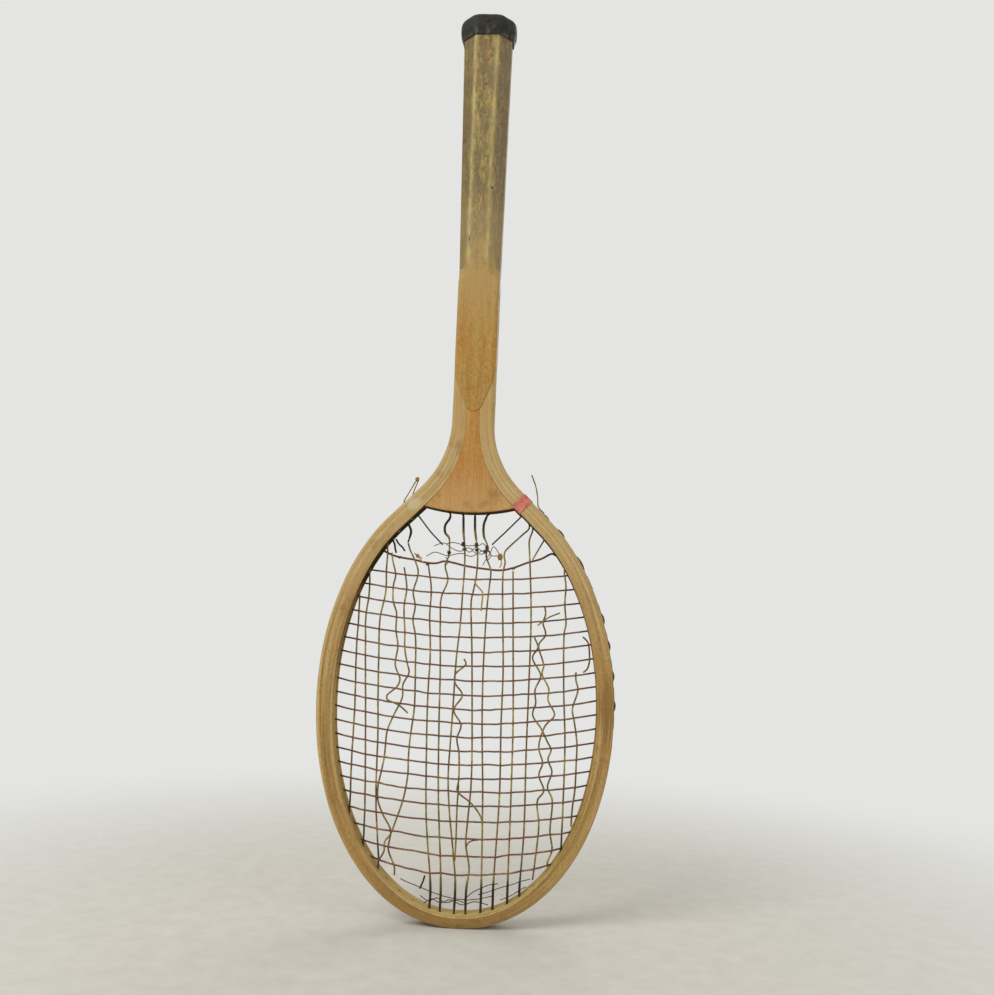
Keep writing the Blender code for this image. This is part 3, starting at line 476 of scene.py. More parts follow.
class Finish:
    """One procedural material, built node by node."""

    def __init__(self, name, specular=0.5, metallic=0.0):
        self.material = bpy.data.materials.new(name)
        self.material.use_nodes = True
        self.tree = self.material.node_tree
        self.shader = self.tree.nodes["Principled BSDF"]
        self.shader.inputs["Specular IOR Level"].default_value = specular
        self.shader.inputs["Metallic"].default_value = metallic

    def node(self, kind, **settings):
        made = self.tree.nodes.new(kind)
        for key, value in settings.items():
            setattr(made, key, value)
        return made

    def feed(self, sockets, *values):
        """Links or sets each socket to its value."""
        for socket, value in zip(sockets, values):
            if isinstance(value, bpy.types.NodeSocket):
                self.tree.links.new(value, socket)
            else:
                socket.default_value = value

    def math(self, operation, a, b=0.0, clamp=False):
        made = self.node("ShaderNodeMath", operation=operation, use_clamp=clamp)
        self.feed(made.inputs, a, b)
        return made.outputs[0]

    def plus(self, a, b):
        return self.math("ADD", a, b)

    def times(self, a, b, clamp=False):
        return self.math("MULTIPLY", a, b, clamp)

    def vector(self, operation, a, b=(0.0, 0.0, 0.0)):
        made = self.node("ShaderNodeVectorMath", operation=operation)
        self.feed(made.inputs, a, b)
        return made.outputs["Value" if operation == "LENGTH" else "Vector"]

    def object_place(self):
        return self.node("ShaderNodeTexCoord").outputs["Object"]

    def parts(self, vector):
        made = self.node("ShaderNodeSeparateXYZ")
        self.feed(made.inputs, vector)
        return made.outputs

    def joined(self, x, y, z):
        made = self.node("ShaderNodeCombineXYZ")
        self.feed(made.inputs, x, y, z)
        return made.outputs[0]

    def map(self, name):
        return self.parts(self.node("ShaderNodeUVMap", uv_map=name).outputs[0])

    def noise(self, vector, scale, detail=3.0, rough=0.55, bend=0.0):
        """Noise with a scale of its own along each axis."""
        scale = scale if isinstance(scale, tuple) else (scale,) * 3
        spread = self.vector("MULTIPLY", vector, scale)
        made = self.node("ShaderNodeTexNoise")
        names = ("Vector", "Scale", "Detail", "Roughness", "Distortion")
        self.feed([made.inputs[key] for key in names], spread, 1.0, detail, rough, bend)
        return made.outputs[0]

    def remap(self, value, low, high, to_low=0.0, to_high=1.0, smooth=True):
        made = self.node("ShaderNodeMapRange")
        made.interpolation_type = "SMOOTHSTEP" if smooth else "LINEAR"
        names = ("Value", "From Min", "From Max", "To Min", "To Max")
        self.feed([made.inputs[key] for key in names], value, low, high, to_low, to_high)
        return made.outputs[0]

    def ramp(self, value, places, shades):
        made = self.node("ShaderNodeValToRGB")
        self.feed(made.inputs, value)
        elements = made.color_ramp.elements
        while len(elements) < len(places):
            elements.new(0.5)
        for element, place, shade in zip(elements, places, shades):
            element.position = place
            element.color = shade
        return made.outputs[0]

    def blend(self, share, a, b, kind="MIX"):
        made = self.node("ShaderNodeMix", data_type="RGBA", blend_type=kind)
        self.feed([made.inputs[i] for i in (0, 6, 7)], share, a, b)
        return made.outputs[2]

    def blend_value(self, share, a, b):
        made = self.node("ShaderNodeMix", data_type="FLOAT")
        self.feed([made.inputs[i] for i in (0, 2, 3)], share, a, b)
        return made.outputs[0]

    def layers(self, colour, *rows):
        """Turns a colour to others: what by, where that starts and ends, amount and colour."""
        for value, low, high, amount, shade in rows:
            colour = self.blend(self.remap(value, low, high, 0.0, amount), colour, shade)
        return colour

    def finish(self, colour, roughness, height, depth, strength=0.6):
        bump = self.node("ShaderNodeBump")
        sockets = [bump.inputs[key] for key in ("Strength", "Distance", "Height")]
        self.feed(sockets, strength, depth, height)
        sockets = [self.shader.inputs[key] for key in ("Base Color", "Roughness", "Normal")]
        self.feed(sockets, colour, roughness, bump.outputs[0])
        return self.material


def handled(f, colour, place, specks):
    """Turns wood to bare, handled wood above the grip's start; also gives its blotches."""
    x, _, height = f.parts(place)
    blotch = f.noise(place, (230.0, 230.0, 75.0), 5.0, 0.68, 0.5)
    beside = f.vector("ADD", place, (0.3, 0.1, 0.2))
    hue = f.noise(beside, (170.0, 170.0, 60.0), 4.0, 0.65, 0.4)
    green, gold, red, plum = GRIP_TONES
    bare = f.layers(
        f.ramp(hue, (0.36, 0.45, 0.54, 0.63), (green, gold, green, red)),
        (blotch, 0.44, 0.66, 0.85, plum),
        (blotch, 0.46, 0.3, 0.9, linear(182, 157, 102)),
        (x, 0.0078, 0.0115, 0.55, linear(132, 116, 94)),
        (x, -0.0085, -0.0125, 0.45, linear(112, 98, 60)),
        (specks, 0.5, 0.68, 0.6, linear(98, 82, 52)),
        (height, 0.548, 0.518, 0.3, linear(184, 160, 114)),
    )
    # The line where the bare wood starts is ragged in front and sharp on the sides
    ragged = f.plus(height, f.remap(blotch, 0.3, 0.7, -0.026, 0.026, False))
    sides = f.remap(f.math("ABSOLUTE", x), 0.0095, 0.0125)
    start = f.math("SUBTRACT", GRIP_START + 0.018, f.times(sides, 0.0145))
    soft = f.plus(f.times(f.math("SUBTRACT", 1.0, sides), 0.016), 0.0005)
    near = f.math("SUBTRACT", f.blend_value(sides, ragged, height), start)
    return f.blend(f.remap(f.math("DIVIDE", near, soft), -1.0, 1.0), colour, bare), blotch


def wood(name, tones, stripes=1.0, mottle=0.5, ring=420.0, seed=0.0, gripped=False, spots=(),
         trends=(), sheen=0.14):
    """Wood with streaks along the grain, pores, stains and worn edges.

    The tones are dark, middle, light and warm. A trend turns the wood to a colour between two
    heights, a gripped piece turns to bare wood along the grip, and spots are stains: place, half
    sizes, colour and strength. The face map's mark is wear, or painted shade where it is negative;
    near the toe it also paints a highlight on the hoop's inner edge.
    """
    f = Finish(name, specular=sheen)
    grain, face, place = f.map("grain"), f.map("face"), f.object_place()
    grain_at = f.joined(f.plus(grain[0], seed), grain[1], face[0])
    rings = f.noise(grain_at, (5.0, ring, ring * 0.6), 4.0, 0.6, 0.4)
    streaks = f.noise(grain_at, (14.0, 1300.0, 1300.0), 3.0, 0.62)
    broad = f.noise(grain_at, (9.0, 70.0, 70.0))
    fine = f.noise(grain_at, (70.0, 4200.0, 4200.0), 2.0)
    bands = f.noise(grain_at, (4.0, 310.0, 190.0), 2.0, 0.5, 0.3)
    specks = f.noise(place, (620.0, 620.0, 380.0), 4.0, 0.65)
    stain = f.noise(f.vector("ADD", place, (0.0, seed, 0.0)), 46.0, 5.0, 0.7)
    dark, middle, light, warm = tones
    spread = 0.16 / stripes
    tone = f.plus(f.times(rings, 0.55), f.times(streaks, 0.45))
    height = f.parts(place)[2]
    colour = f.layers(
        f.ramp(tone, (0.5 - spread, 0.5, 0.5 + spread), (dark, middle, light)),
        (bands, 0.53, 0.64, 0.45 * stripes, light),
        (bands, 0.47, 0.36, 0.4 * stripes, dark),
        (broad, 0.46, 0.66, 0.7, warm),
        (specks, 0.52, 0.68, mottle, dark),
        (specks, 0.46, 0.3, mottle, light),
        *((height, *trend) for trend in trends),
    )
    patches = stain
    if gripped:
        colour, patches = handled(f, colour, place, specks)
    pores = f.remap(fine, 0.6, 0.72, 0.0, 0.4)
    colour = f.blend(pores, colour, (*(part * 0.4 for part in dark[:3]), 1.0))
    # Random darker stain patches.
    dark_stain = f.remap(stain, 0.56, 0.72, 0.0, 0.45)
    colour = f.blend(dark_stain, colour, (0.45, 0.37, 0.24, 1.0), "MULTIPLY")
    # Paler where the mark is positive: worn edges, and on the hoop's inner edge and wall near the
    # toe a painted highlight.
    worn = f.times(face[1], f.remap(patches, 0.38, 0.6, 1.0, 0.45))
    colour = f.blend(f.times(worn, 0.8, clamp=True), colour, linear(200, 179, 120))
    # Darker where the mark is negative: painted shade on the hoop's inner wall and groove, under
    # the wedge and along the cheeks' seams.
    painted_shade = f.times(f.times(face[1], -1.0), 0.94, clamp=True)
    colour = f.blend(painted_shade, colour, linear(46, 36, 20))
    for spot, half, shade, strength in spots:
        away = f.vector("SUBTRACT", place, spot)
        away = f.vector("LENGTH", f.vector("MULTIPLY", away, tuple(1 / part for part in half)))
        near = f.plus(away, f.remap(streaks, 0.3, 0.7, -0.35, 0.35))
        colour = f.blend(f.remap(near, 0.6, 1.1, strength, 0.0), colour, shade)
    relief = f.plus(f.times(streaks, 0.5), f.times(stain, 0.6))
    relief = f.math("SUBTRACT", relief, f.times(pores, 0.8))
    rough = f.remap(f.plus(stain, f.times(streaks, 0.3)), 0.45, 0.95, 0.45, 0.7)
    return f.finish(colour, rough, relief, 0.00035)


def gut(name, tones, deep, amount=0.5):
    """Old gut: its tones change along it, with stains at the crossings and dark ends."""
    f = Finish(name, specular=0.3)
    grain, face, place = f.map("grain"), f.map("face"), f.object_place()
    slow = f.noise(place, 75.0, 4.0, 0.7)
    quick = f.noise(place, 420.0, 2.0)
    fibre = f.noise(f.joined(grain[0], grain[1], 0.0), (900.0, 9.0, 1.0), 2.0)
    colour = f.ramp(slow, (0.38, 0.46, 0.54, 0.64), tones)
    colour = f.layers(colour, (quick, 0.5, 0.68, amount, tones[1]))
    colour = f.blend(f.times(face[0], 0.6, clamp=True), colour, tones[0])
    colour = f.layers(colour, (fibre, 0.55, 0.75, 0.35, deep))
    # Darker by the mark: tar on the mains' ends, and painted shade at the crosses' ends and in the
    # holes.
    colour = f.blend(f.times(face[1], 1.0, clamp=True), colour, deep)
    twist = f.math("SINE", f.plus(f.times(grain[0], 4200.0), f.times(grain[1], 12.566)))
    relief = f.plus(f.times(twist, 0.35), quick)
    return f.finish(colour, f.remap(quick, 0.3, 0.7, 0.35, 0.6), relief, 0.00012)


def leather(name):
    """Black leather with its pebbles and folds, rubbed pale along its edges."""
    f = Finish(name, specular=0.25)
    place = f.object_place()
    cells = f.node("ShaderNodeTexVoronoi", feature="DISTANCE_TO_EDGE")
    spread = f.vector("MULTIPLY", place, (1500.0, 1500.0, 1500.0))
    f.feed([cells.inputs["Vector"], cells.inputs["Scale"]], spread, 1.0)
    pebbles = f.remap(cells.outputs["Distance"], 0.0, 0.25)
    folds = f.noise(place, (260.0, 260.0, 130.0), 4.0, 0.6, 0.6)
    patches = f.noise(place, 120.0, 4.0, 0.65)
    colour = f.ramp(patches, (0.38, 0.52, 0.68), palette((24, 23, 18), (38, 37, 29), (58, 55, 44)))
    rub = f.times(f.map("face")[1], f.remap(folds, 0.48, 0.62, 0.0, 0.8))
    colour = f.blend(rub, colour, linear(100, 98, 90))
    colour = f.blend(f.remap(pebbles, 0.0, 0.4, 0.45, 0.0), colour, linear(22, 21, 17))
    relief = f.plus(f.times(pebbles, 0.35), f.times(folds, 1.6))
    return f.finish(colour, f.remap(patches, 0.35, 0.7, 0.45, 0.68), relief, 0.0004, 0.7)


def tarnished(name):
    """Old dull metal."""
    f = Finish(name, specular=0.3, metallic=0.5)
    spots = f.noise(f.object_place(), 900.0, 4.0, 0.65)
    colour = f.ramp(spots, (0.4, 0.56, 0.72), palette((32, 29, 23), (56, 50, 39), (42, 34, 26)))
    return f.finish(colour, f.remap(spots, 0.35, 0.7, 0.4, 0.75), spots, 0.00015)


WEAVE_RADIANS_PER_METRE = 11000.0


def cloth(name):
    """Worn red cloth tape with its plain weave."""
    f = Finish(name, specular=0.2)
    grain = f.map("grain")
    lengthways, crossways = (
        f.math("SINE", f.times(grain[axis], WEAVE_RADIANS_PER_METRE)) for axis in (0, 1)
    )
    weave = f.times(lengthways, crossways)
    worn = f.noise(f.object_place(), 240.0, 4.0, 0.65)
    shades = palette((198, 104, 90), (224, 132, 114), (236, 162, 140))
    colour = f.ramp(worn, (0.36, 0.5, 0.68), shades)
    colour = f.blend(f.remap(weave, -0.8, 0.6, 0.35, 0.0), colour, linear(180, 92, 84))
    relief = f.plus(f.times(weave, 0.5), worn)
    return f.finish(colour, f.remap(worn, 0.3, 0.7, 0.75, 0.95), relief, 0.0002)


ASH_TONES = palette((134, 100, 50), (176, 144, 86), (206, 176, 118), (168, 128, 74))
SHAFT_TONES = palette((146, 106, 48), (178, 138, 72), (198, 162, 96), (178, 122, 58))
WEDGE_TONES = palette((150, 102, 46), (184, 134, 68), (208, 166, 102), (182, 126, 64))
GUT_TONES = palette((146, 82, 52), (100, 90, 46), (144, 128, 58), (186, 166, 84))
CROSS_TONES = palette((120, 72, 56), (98, 80, 58), (130, 104, 70), (160, 136, 86))
RED_TONES = palette((108, 52, 34), (134, 74, 46), (112, 78, 44), (146, 104, 58))
BROWN_TONES = palette((96, 68, 36), (110, 90, 50), (132, 108, 58), (160, 134, 74))
DARK_TONES = palette((48, 34, 20), (66, 54, 28), (58, 44, 24), (84, 66, 34))
GOLDEN_TONES = palette((170, 106, 44), (182, 138, 58), (198, 158, 70), (212, 176, 92))
GRIP_TONES = palette((118, 108, 62), (168, 145, 92), (148, 110, 76), (128, 112, 88))


# Wood

# Marks on the hoop's inner wall. INNER_WALL or less asks make_hoop for painted shade and light, and
# the steps below it say how near the wall's edges a point is.
INNER_WALL = -1.0
INNER_MARKS = ((0.8, -2.0), (0.4, -1.5), (0.0, INNER_WALL), (-0.4, -1.5), (-0.8, -2.0))
INNER_LIFT = 0.00005
BED_TOP = 0.299
TOE_REACH = 0.07
FLAT_FACE = 0.0094


def strip_ring(station):
    """The strip's section: depth from the outer face, height across, and wear at its corners, or
    painted shade where that mark is negative.
    """
    h, w = HALF_DEPTH, station.width
    bevel, groove, squared = station.bevel, station.groove, station.squared
    ring = []
    for turn, inset, drop in quarter((0.0, 0.25, 0.5, 0.75, 1.0)):
        soft = 0.12 * MM * sin(turn * pi) * squared
        depth = mix(bevel * inset, bevel * (1 - turn), squared) - soft
        across = mix(h - bevel * drop, h - bevel * turn, squared) + soft
        wear = 1.0 - abs(2 * turn - 1) if squared < 0.5 else float(turn > 0.8)
        ring.append((depth, across, 0.55 * wear))
    ring.append((0.0, (h - bevel + GROOVE_HALF_WIDTH) / 2, 0.0))
    ring.append((0.0, GROOVE_HALF_WIDTH + 0.0004, 0.1))
    # The groove's floor gets negative marks: painted shade in the recess.
    for share in (1.0, 0.86, 0.6, 0.3):
        depth = groove * (1 - share**4) + 0.0001 * (1 - share)
        ring.append((depth, GROOVE_HALF_WIDTH * share, -0.35))
    outer = ring + [(groove, 0.0, -0.45)] + [(d, -y, mark) for d, y, mark in reversed(ring)]
    bed = 1 - ease((station.z - BED_TOP) / 0.006)
    edge = mix(0.00025, INNER_BEVEL, bed)
    # The inner edge is worn pale all round; the extra paleness towards the toe is a painted
    # highlight where that edge faces the light.
    wear = bed * (0.3 + 1.25 * (1 - ease(station.z / TOE_REACH)))
    inner = []
    for turn, inset, drop in quarter((0.0, 0.33, 0.67, 1.0)):
        inner.append((w - edge * inset, h - edge * drop, wear * sin(turn * pi)))
    wall = [(w + INNER_LIFT, y * h, mark) for y, mark in INNER_MARKS]
    inside = inner + wall + [(d, -y, mark) for d, y, mark in reversed(inner)]
    return outer + [(0.5 * w, -h, 0.0)] + inside[::-1] + [(0.5 * w, h, 0.0)]


def wall_painted_shade(z, side):
    """How much painted shade the inner wall gets at a height: most under the wedge, and more on the
    left; near the toe it goes below zero and paints light instead.
    """
    painted_shade = 0.5 * ease(z / 0.12) - 0.45 + 0.9 * ease((z - 0.225) / 0.04)
    return min(painted_shade + (0.45 * ease((z - 0.15) / 0.06) if side < 0 else 0.0), 1.0)


def make_hoop(material, inner):
    """The bent strip: down the right leg, round the toe and up the left leg."""
    skin = Skin()
    stations = rail_stations(170, 14, 34, 0.009)
    places = distances([station.at(station.width / 2) for station in stations])
    path = [(s, p, 1) for s, p in zip(stations, places)][::-1]
    path += [(s, -p, -1) for s, p in zip(stations, places)][1:]
    rings = []
    for station, along, side in path:
        ring = []
        painted_shade = wall_painted_shade(station.z, side)
        for number, (depth, across, wear) in enumerate(strip_ring(station)):
            # On the inner wall: painted shade, and near the toe painted light that is strongest by
            # the wall's edges.
            if wear <= INNER_WALL:
                wear = -painted_shade + 0.6 * (INNER_WALL - wear) * (1 - ease(station.z / TOE_REACH))
            shift = depth
            if not station.squared and abs(across) < FLAT_FACE:
                uneven = 0.10 * MM * wander(along, 34.0, number % 7 + 11 * side)
                shift += uneven if depth < 0.5 * station.width else -uneven
            x, z = station.at(shift)
            ring.append(skin.vert((side * x, across, z), (along, depth), (across, wear)))
            if depth >= station.width:
                skin.inner.add(ring[-1])
        rings.append(ring)
    skin.loft(rings)
    return finished("hoop_ash", skin.shape, material, inner=inner)


def wedge_side():
    """The wedge's right side from its lower corner to the top of its tail, evenly stepped."""
    line = []
    for station in rail_stations(*RAIL_STEPS, 0.004):
        x, z = station.at(station.width + SEAM)
        inside = x < 0.06 and z > WEDGE_EDGE_HEIGHT and z > wedge_edge(x)
        if inside and z < WEDGE_TAIL_HEIGHT:
            line.append((x, z))
    line.append((line[-1][0], WEDGE_TAIL_HEIGHT))
    return line


WEDGE_BEVEL = 0.0009
WEDGE_COLUMNS = 48


def make_wedge(material, inner):
    """The wedge in columns across it, each a ring up its front, down its back and under it."""
    skin = Skin()
    side = wedge_side()
    corner_x, corner_z = side[0]
    lengths = distances(side)
    rows = [0.0003, 0.0009] + list(np.linspace(0.002, lengths[-1], 60))
    h = HALF_DEPTH
    rings = []
    for i in range(WEDGE_COLUMNS + 1):
        across = 2 * i / WEDGE_COLUMNS - 1
        face = []
        for row in rows:
            x, z = (float(np.interp(row, lengths, [p[axis] for p in side])) for axis in (0, 1))
            sink = (corner_z - wedge_edge(across * corner_x)) * (1 - ease(row / 0.050))
            face.append((across * x, z - sink))
        x0, z0 = face[0]
        front = []
        # The bevel's mark runs from painted shade at its foot to wear at its top.
        for turn, inset, drop in quarter((0.0, 0.34, 0.67)):
            rise = WEDGE_BEVEL * drop - 0.0003
            front.append((x0, h - WEDGE_BEVEL * inset, z0 + rise, 1.3 * turn - 0.4))
        front += [(x, h, z, 0.2 if k == 0 else 0.0) for k, (x, z) in enumerate(face[1:])]
        back = [(x, -y, z, mark) for x, y, z, mark in reversed(front)]
        # The underside's mark of -0.95 is painted shade under the wedge.
        under = [(x0, y * h, z0 - 0.0004, -0.95) for y in (-0.8, -0.3, 0.3, 0.8)]
        points = front + back + under
        rings.append([skin.vert((x, y, z), (z, x), (y, mark)) for x, y, z, mark in points])
        skin.inner.update([rings[-1][0]] + rings[-1][2 * len(front) - 1:])
    skin.loft(rings, caps=False)
    count = len(front)
    for ring, flip in ((rings[0], False), (rings[-1], True)):
        for k in range(count - 1):
            quad = (ring[k], ring[k + 1], ring[2 * count - 2 - k], ring[2 * count - 1 - k])
            skin.quad(*(reversed(quad) if flip else quad))
        rim = [ring[0]] + ring[2 * count - 1:]
        skin.quad(*(rim if flip else reversed(rim)))
    return finished("wedge_wood_piece", skin.shape, material, inner=inner)


def tongue_half(z):
    """Half width of a cheek's tongue: a round tip that spreads to the width of the shaft."""
    height = z - CHEEK_TIP
    if height < TONGUE_TIP_LENGTH:
        return TONGUE_HALF_WIDTH * sqrt(1 - (1 - height / TONGUE_TIP_LENGTH) ** 2)
    share = min((height - TONGUE_TIP_LENGTH) / (TONGUE_LENGTH - TONGUE_TIP_LENGTH), 1.0)
    return mix(TONGUE_HALF_WIDTH, SHAFT_HALF_WIDTH, sin(share * pi / 2))


def cheek_outline(z, half, pinch):
    """The handle's outline in front of the legs: x, distance forward, wear.

    It turns from a soft outline on the shaft to the grip's octagon. The pinch draws the right
    front edge inwards.
    """
    flat = ease((z - GRIP_STOP) / (GRIP_START - GRIP_STOP))
    bright = ease((z - GRIP_START) / 0.016)
    swell = ease((z - CHEEK_TIP) / (GRIP_START - CHEEK_TIP))
    thickness = mix(TONGUE_THICKNESS, GRIP_START_HALF_DEPTH - CHEEK_BASE, swell)
    front = grip_depth(z) if z >= GRIP_START else CHEEK_BASE + thickness
    flat_half = half - grip_corner(z)
    diagonal = grip_depth(z) + flat_half
    corner = min(0.0026, 0.75 * (front - CHEEK_BASE))
    # The mark of -0.25 at the cheek's base, here and in the octagon below, is painted shade along
    # its seam with the leg.
    soft = [(half, CHEEK_BASE, -0.25), (half, CHEEK_BASE + 0.06 * thickness, 0.0)]
    for turn, inset, drop in quarter((0.0, 0.2, 0.4, 0.6, 0.8, 1.0)):
        soft.append((half - corner * drop, front - corner * inset, 0.25 * sin(turn * pi)))
    edge = soft[-1][0]
    soft += [(mix(edge, 0.0, share), front, 0.0) for share in (0.15, 0.4)]
    base = diagonal - CHEEK_BASE
    hard = [(mix(half, min(half, base), flat), CHEEK_BASE, -0.25)]
    for share, wear in ((0.1, 0.0), (0.5, 0.0), (0.72, 0.2), (0.9, 0.8)):
        hard.append((mix(base, flat_half, share), mix(CHEEK_BASE, front, share), wear))
    for out, drop, wear in (
        (0.0001, 0.00025, 1.0), (-0.0006, 0.00002, 1.0), (-0.0014, 0.0, 0.6),
        (-0.0024, 0.0, 0.2), (-0.0042, 0.0, 0.0),
    ):
        hard.append((flat_half + out, front - drop, wear))
    points = []
    for (x0, y0, w0), (x1, y1, w1) in zip(soft, hard):
        points.append((mix(x0, x1, flat), mix(y0, y1, flat), mix(w0, w1 * bright, flat)))
    left = [(-x, y, wear) for x, y, wear in reversed(points)]
    right = []
    for x, y, wear in points:
        lean = clamped((y - CHEEK_BASE) / (front - CHEEK_BASE))
        right.append((x - pinch * flat * lean, y, wear))
    return right + [(0.0, front, 0.0)] + left + [(0.0, CHEEK_BASE, 0.0)]


def make_cheek(name, side, material):
    """The front cheek, for side -1, or the back one, from its tongue's tip to the butt."""
    tip = CHEEK_TIP + TONGUE_TIP_LENGTH
    shares = (0.02, 0.08, 0.2, 0.35, 0.55, 0.8, 1.0)
    heights = [CHEEK_TIP + TONGUE_TIP_LENGTH * share for share in shares]
    for low, high, count in (
        (tip, CHEEK_FULL, 14), (CHEEK_FULL, GRIP_STOP, 18), (GRIP_STOP, GRIP_START, 8),
    ):
        heights += list(np.linspace(low, high, count)[1:])
    heights += [GRIP_START + PAST_START] + list(np.linspace(GRIP_START + 0.0035, WOOD_TOP, 66))
    skin = Skin()
    rings = []
    for z in heights:
        half = tongue_half(z) if z < CHEEK_FULL else grip_half(z)
        pinch = mix(0.0029, 0.0010, ease((z - 0.56) / 0.11)) if side < 0 else 0.0
        ring = []
        for number, (x, y, wear) in enumerate(cheek_outline(z, half, pinch)):
            dent = 0.0
            if y > CHEEK_BASE + 0.0003:
                dent = 0.16 * MM * abs(wander(z, 60.0, number % 9 + 5 * side))
                dent *= 1.0 if wear > 0.6 else 0.4
            ring.append(skin.vert((x, side * (y - dent), z), (z, x), (side * y, wear)))
        rings.append(ring)
    skin.loft(rings)
    return finished(name, skin.shape, material)


# Cap and tacks

def cap_lift(z):
    """How far the cap's outside stands off the wood: flared upwards and rounded over at the end."""
    flare = CAP_FLARE * ease((z - CAP_EDGE) / CAP_FLARE_HEIGHT)
    over = max(z - (OVERALL_LENGTH - CAP_ROUNDING_HEIGHT), 0.0) / CAP_ROUNDING_HEIGHT
    return GAP + CAP_WALL + flare - CAP_ROUNDING_WIDTH * (1 - sqrt(max(1 - over**2, 0.0)))


def soft_octagon(lift, softness, scale=1.0):
    """Points round the butt's outline, moved outwards, with a mark that is 1 at the corners."""
    half = GRIP_END_HALF_WIDTH + lift
    depth = GRIP_END_HALF_DEPTH + lift
    corner = GRIP_END_CORNER + CORNER_GROWTH * lift
    corners = [Vector((half, corner - depth)), Vector((half, depth - corner)),
               Vector((half - corner, depth)), Vector((corner - half, depth))]
    corners += [-spot for spot in corners]
    points = []
    for k, spot in enumerate(corners):
        before = corners[k - 1]
        after = corners[(k + 1) % 8]
        start = spot + (before - spot).normalized() * softness
        end = spot + (after - spot).normalized() * softness
        for t in (0.0, 0.2, 0.4, 0.6, 0.8, 1.0):
            bend = start.lerp(spot, t).lerp(spot.lerp(end, t), t) * scale
            points.append((bend.x, bend.y, 1.0 - abs(2 * t - 1)))
        follow = after + (spot - after).normalized() * softness
        for t in (0.25, 0.5, 0.75):
            bend = end.lerp(follow, t) * scale
            points.append((bend.x, bend.y, 0.0))
    return points


def make_cap(material):
    """The leather cup: down inside to its rim, up outside, and in over the butt's end."""
    rim = cap_lift(CAP_EDGE)
    rounding = OVERALL_LENGTH - CAP_ROUNDING_HEIGHT
    # Each level: how far it stands off the wood, its height, its wear and the outline's scale
    levels = [
        (GAP, OVERALL_LENGTH - 0.0025, 0.0, 1.0),
        (GAP, CAP_EDGE + 0.0004, 0.0, 1.0),
        (rim - 0.0005, CAP_EDGE, 0.5, 1.0),
        (rim - 0.0001, CAP_EDGE + 0.0002, 1.0, 1.0),
    ]
    for share, wear in (
        (0.06, 1.0), (0.12, 0.9), (0.2, 0.8), (0.3, 0.65), (0.4, 0.45), (0.5, 0.25),
        (0.62, 0.1), (0.74, 0.0), (0.87, 0.05),
    ):
        z = mix(CAP_EDGE, rounding, share)
        levels.append((cap_lift(z), z, wear, 1.0))
    for turn in (0.0, 0.15, 0.3, 0.45, 0.6, 0.75, 0.88, 0.97, 1.0):
        z = OVERALL_LENGTH - CAP_ROUNDING_HEIGHT * (1 - sin(turn * pi / 2))
        levels.append((cap_lift(z), z, 0.2 * turn, 1.0))
    for share in (0.95, 0.88, 0.75, 0.55, 0.3, 0.06):
        sunk = OVERALL_LENGTH - 0.0003 * (1 - share)
        levels.append((cap_lift(OVERALL_LENGTH), sunk, 0.1, share))
    skin = Skin()
    rings = []
    for number, (lift, z, wear, scale) in enumerate(levels):
        ring = []
        high = ease((z - CAP_EDGE) / 0.012)
        for x, y, corner in soft_octagon(lift, mix(0.0016, 0.0048, high), scale):
            fold = rise = 0.0
            if number > 1:
                fold = abs(0.45 * MM * noise(Vector((x * 130, y * 130, z * 110))))
            if 2 <= number <= 4:
                rise = 0.35 * MM * noise(Vector((x * 90, y * 90, 3.3)))
            spot = Vector((x, y, z + rise)) - Vector((x, y, 0)).normalized() * fold
            rub = max(wear, 0.45 * corner * (1 - 0.6 * high))
            ring.append(skin.vert(spot, (z, atan2(y, x) * 0.02), (y, rub)))
        rings.append(ring)
    skin.loft(rings)
    return finished("cap_leather_cup", skin.shape, material, 50.0)


TACK_PROFILE = (
    (1.0, -0.9), (1.04, 0.02), (1.0, 0.25), (0.9, 0.5), (0.72, 0.74), (0.45, 0.9), (0.15, 0.96),
)
TACK_DOME = 0.0007
TACK_SIDES = 28


def make_tack(where, turn, material):
    """A domed tack head on the cap's front or back."""
    skin = Skin()
    rings = []
    for radius, height in TACK_PROFILE:
        ring = []
        for k in range(TACK_SIDES):
            angle = 2 * pi * k / TACK_SIDES
            dent = noise(Vector((cos(angle) * 2, sin(angle) * 2, radius * 3 + turn)))
            reach = TACK_RADIUS * radius * (1 - 0.05 * dent)
            spot = (reach * cos(angle), reach * sin(angle), TACK_DOME * height)
            ring.append(skin.vert(spot, spot[:2], (spot[2], 0.0)))
        rings.append(ring)
    skin.loft(rings)
    z = CAP_EDGE + TACK_HEIGHT
    seat = Matrix.Translation((GRIP_END_HALF_DEPTH + cap_lift(z), 0, z))
    skin.shape.transform(Matrix.Rotation(turn, 4, "Z") @ seat @ Matrix.Rotation(pi / 2, 4, "Y"))
    return finished("cap_tack_head_" + where, skin.shape, material)


# Strings, in millimetres across and up

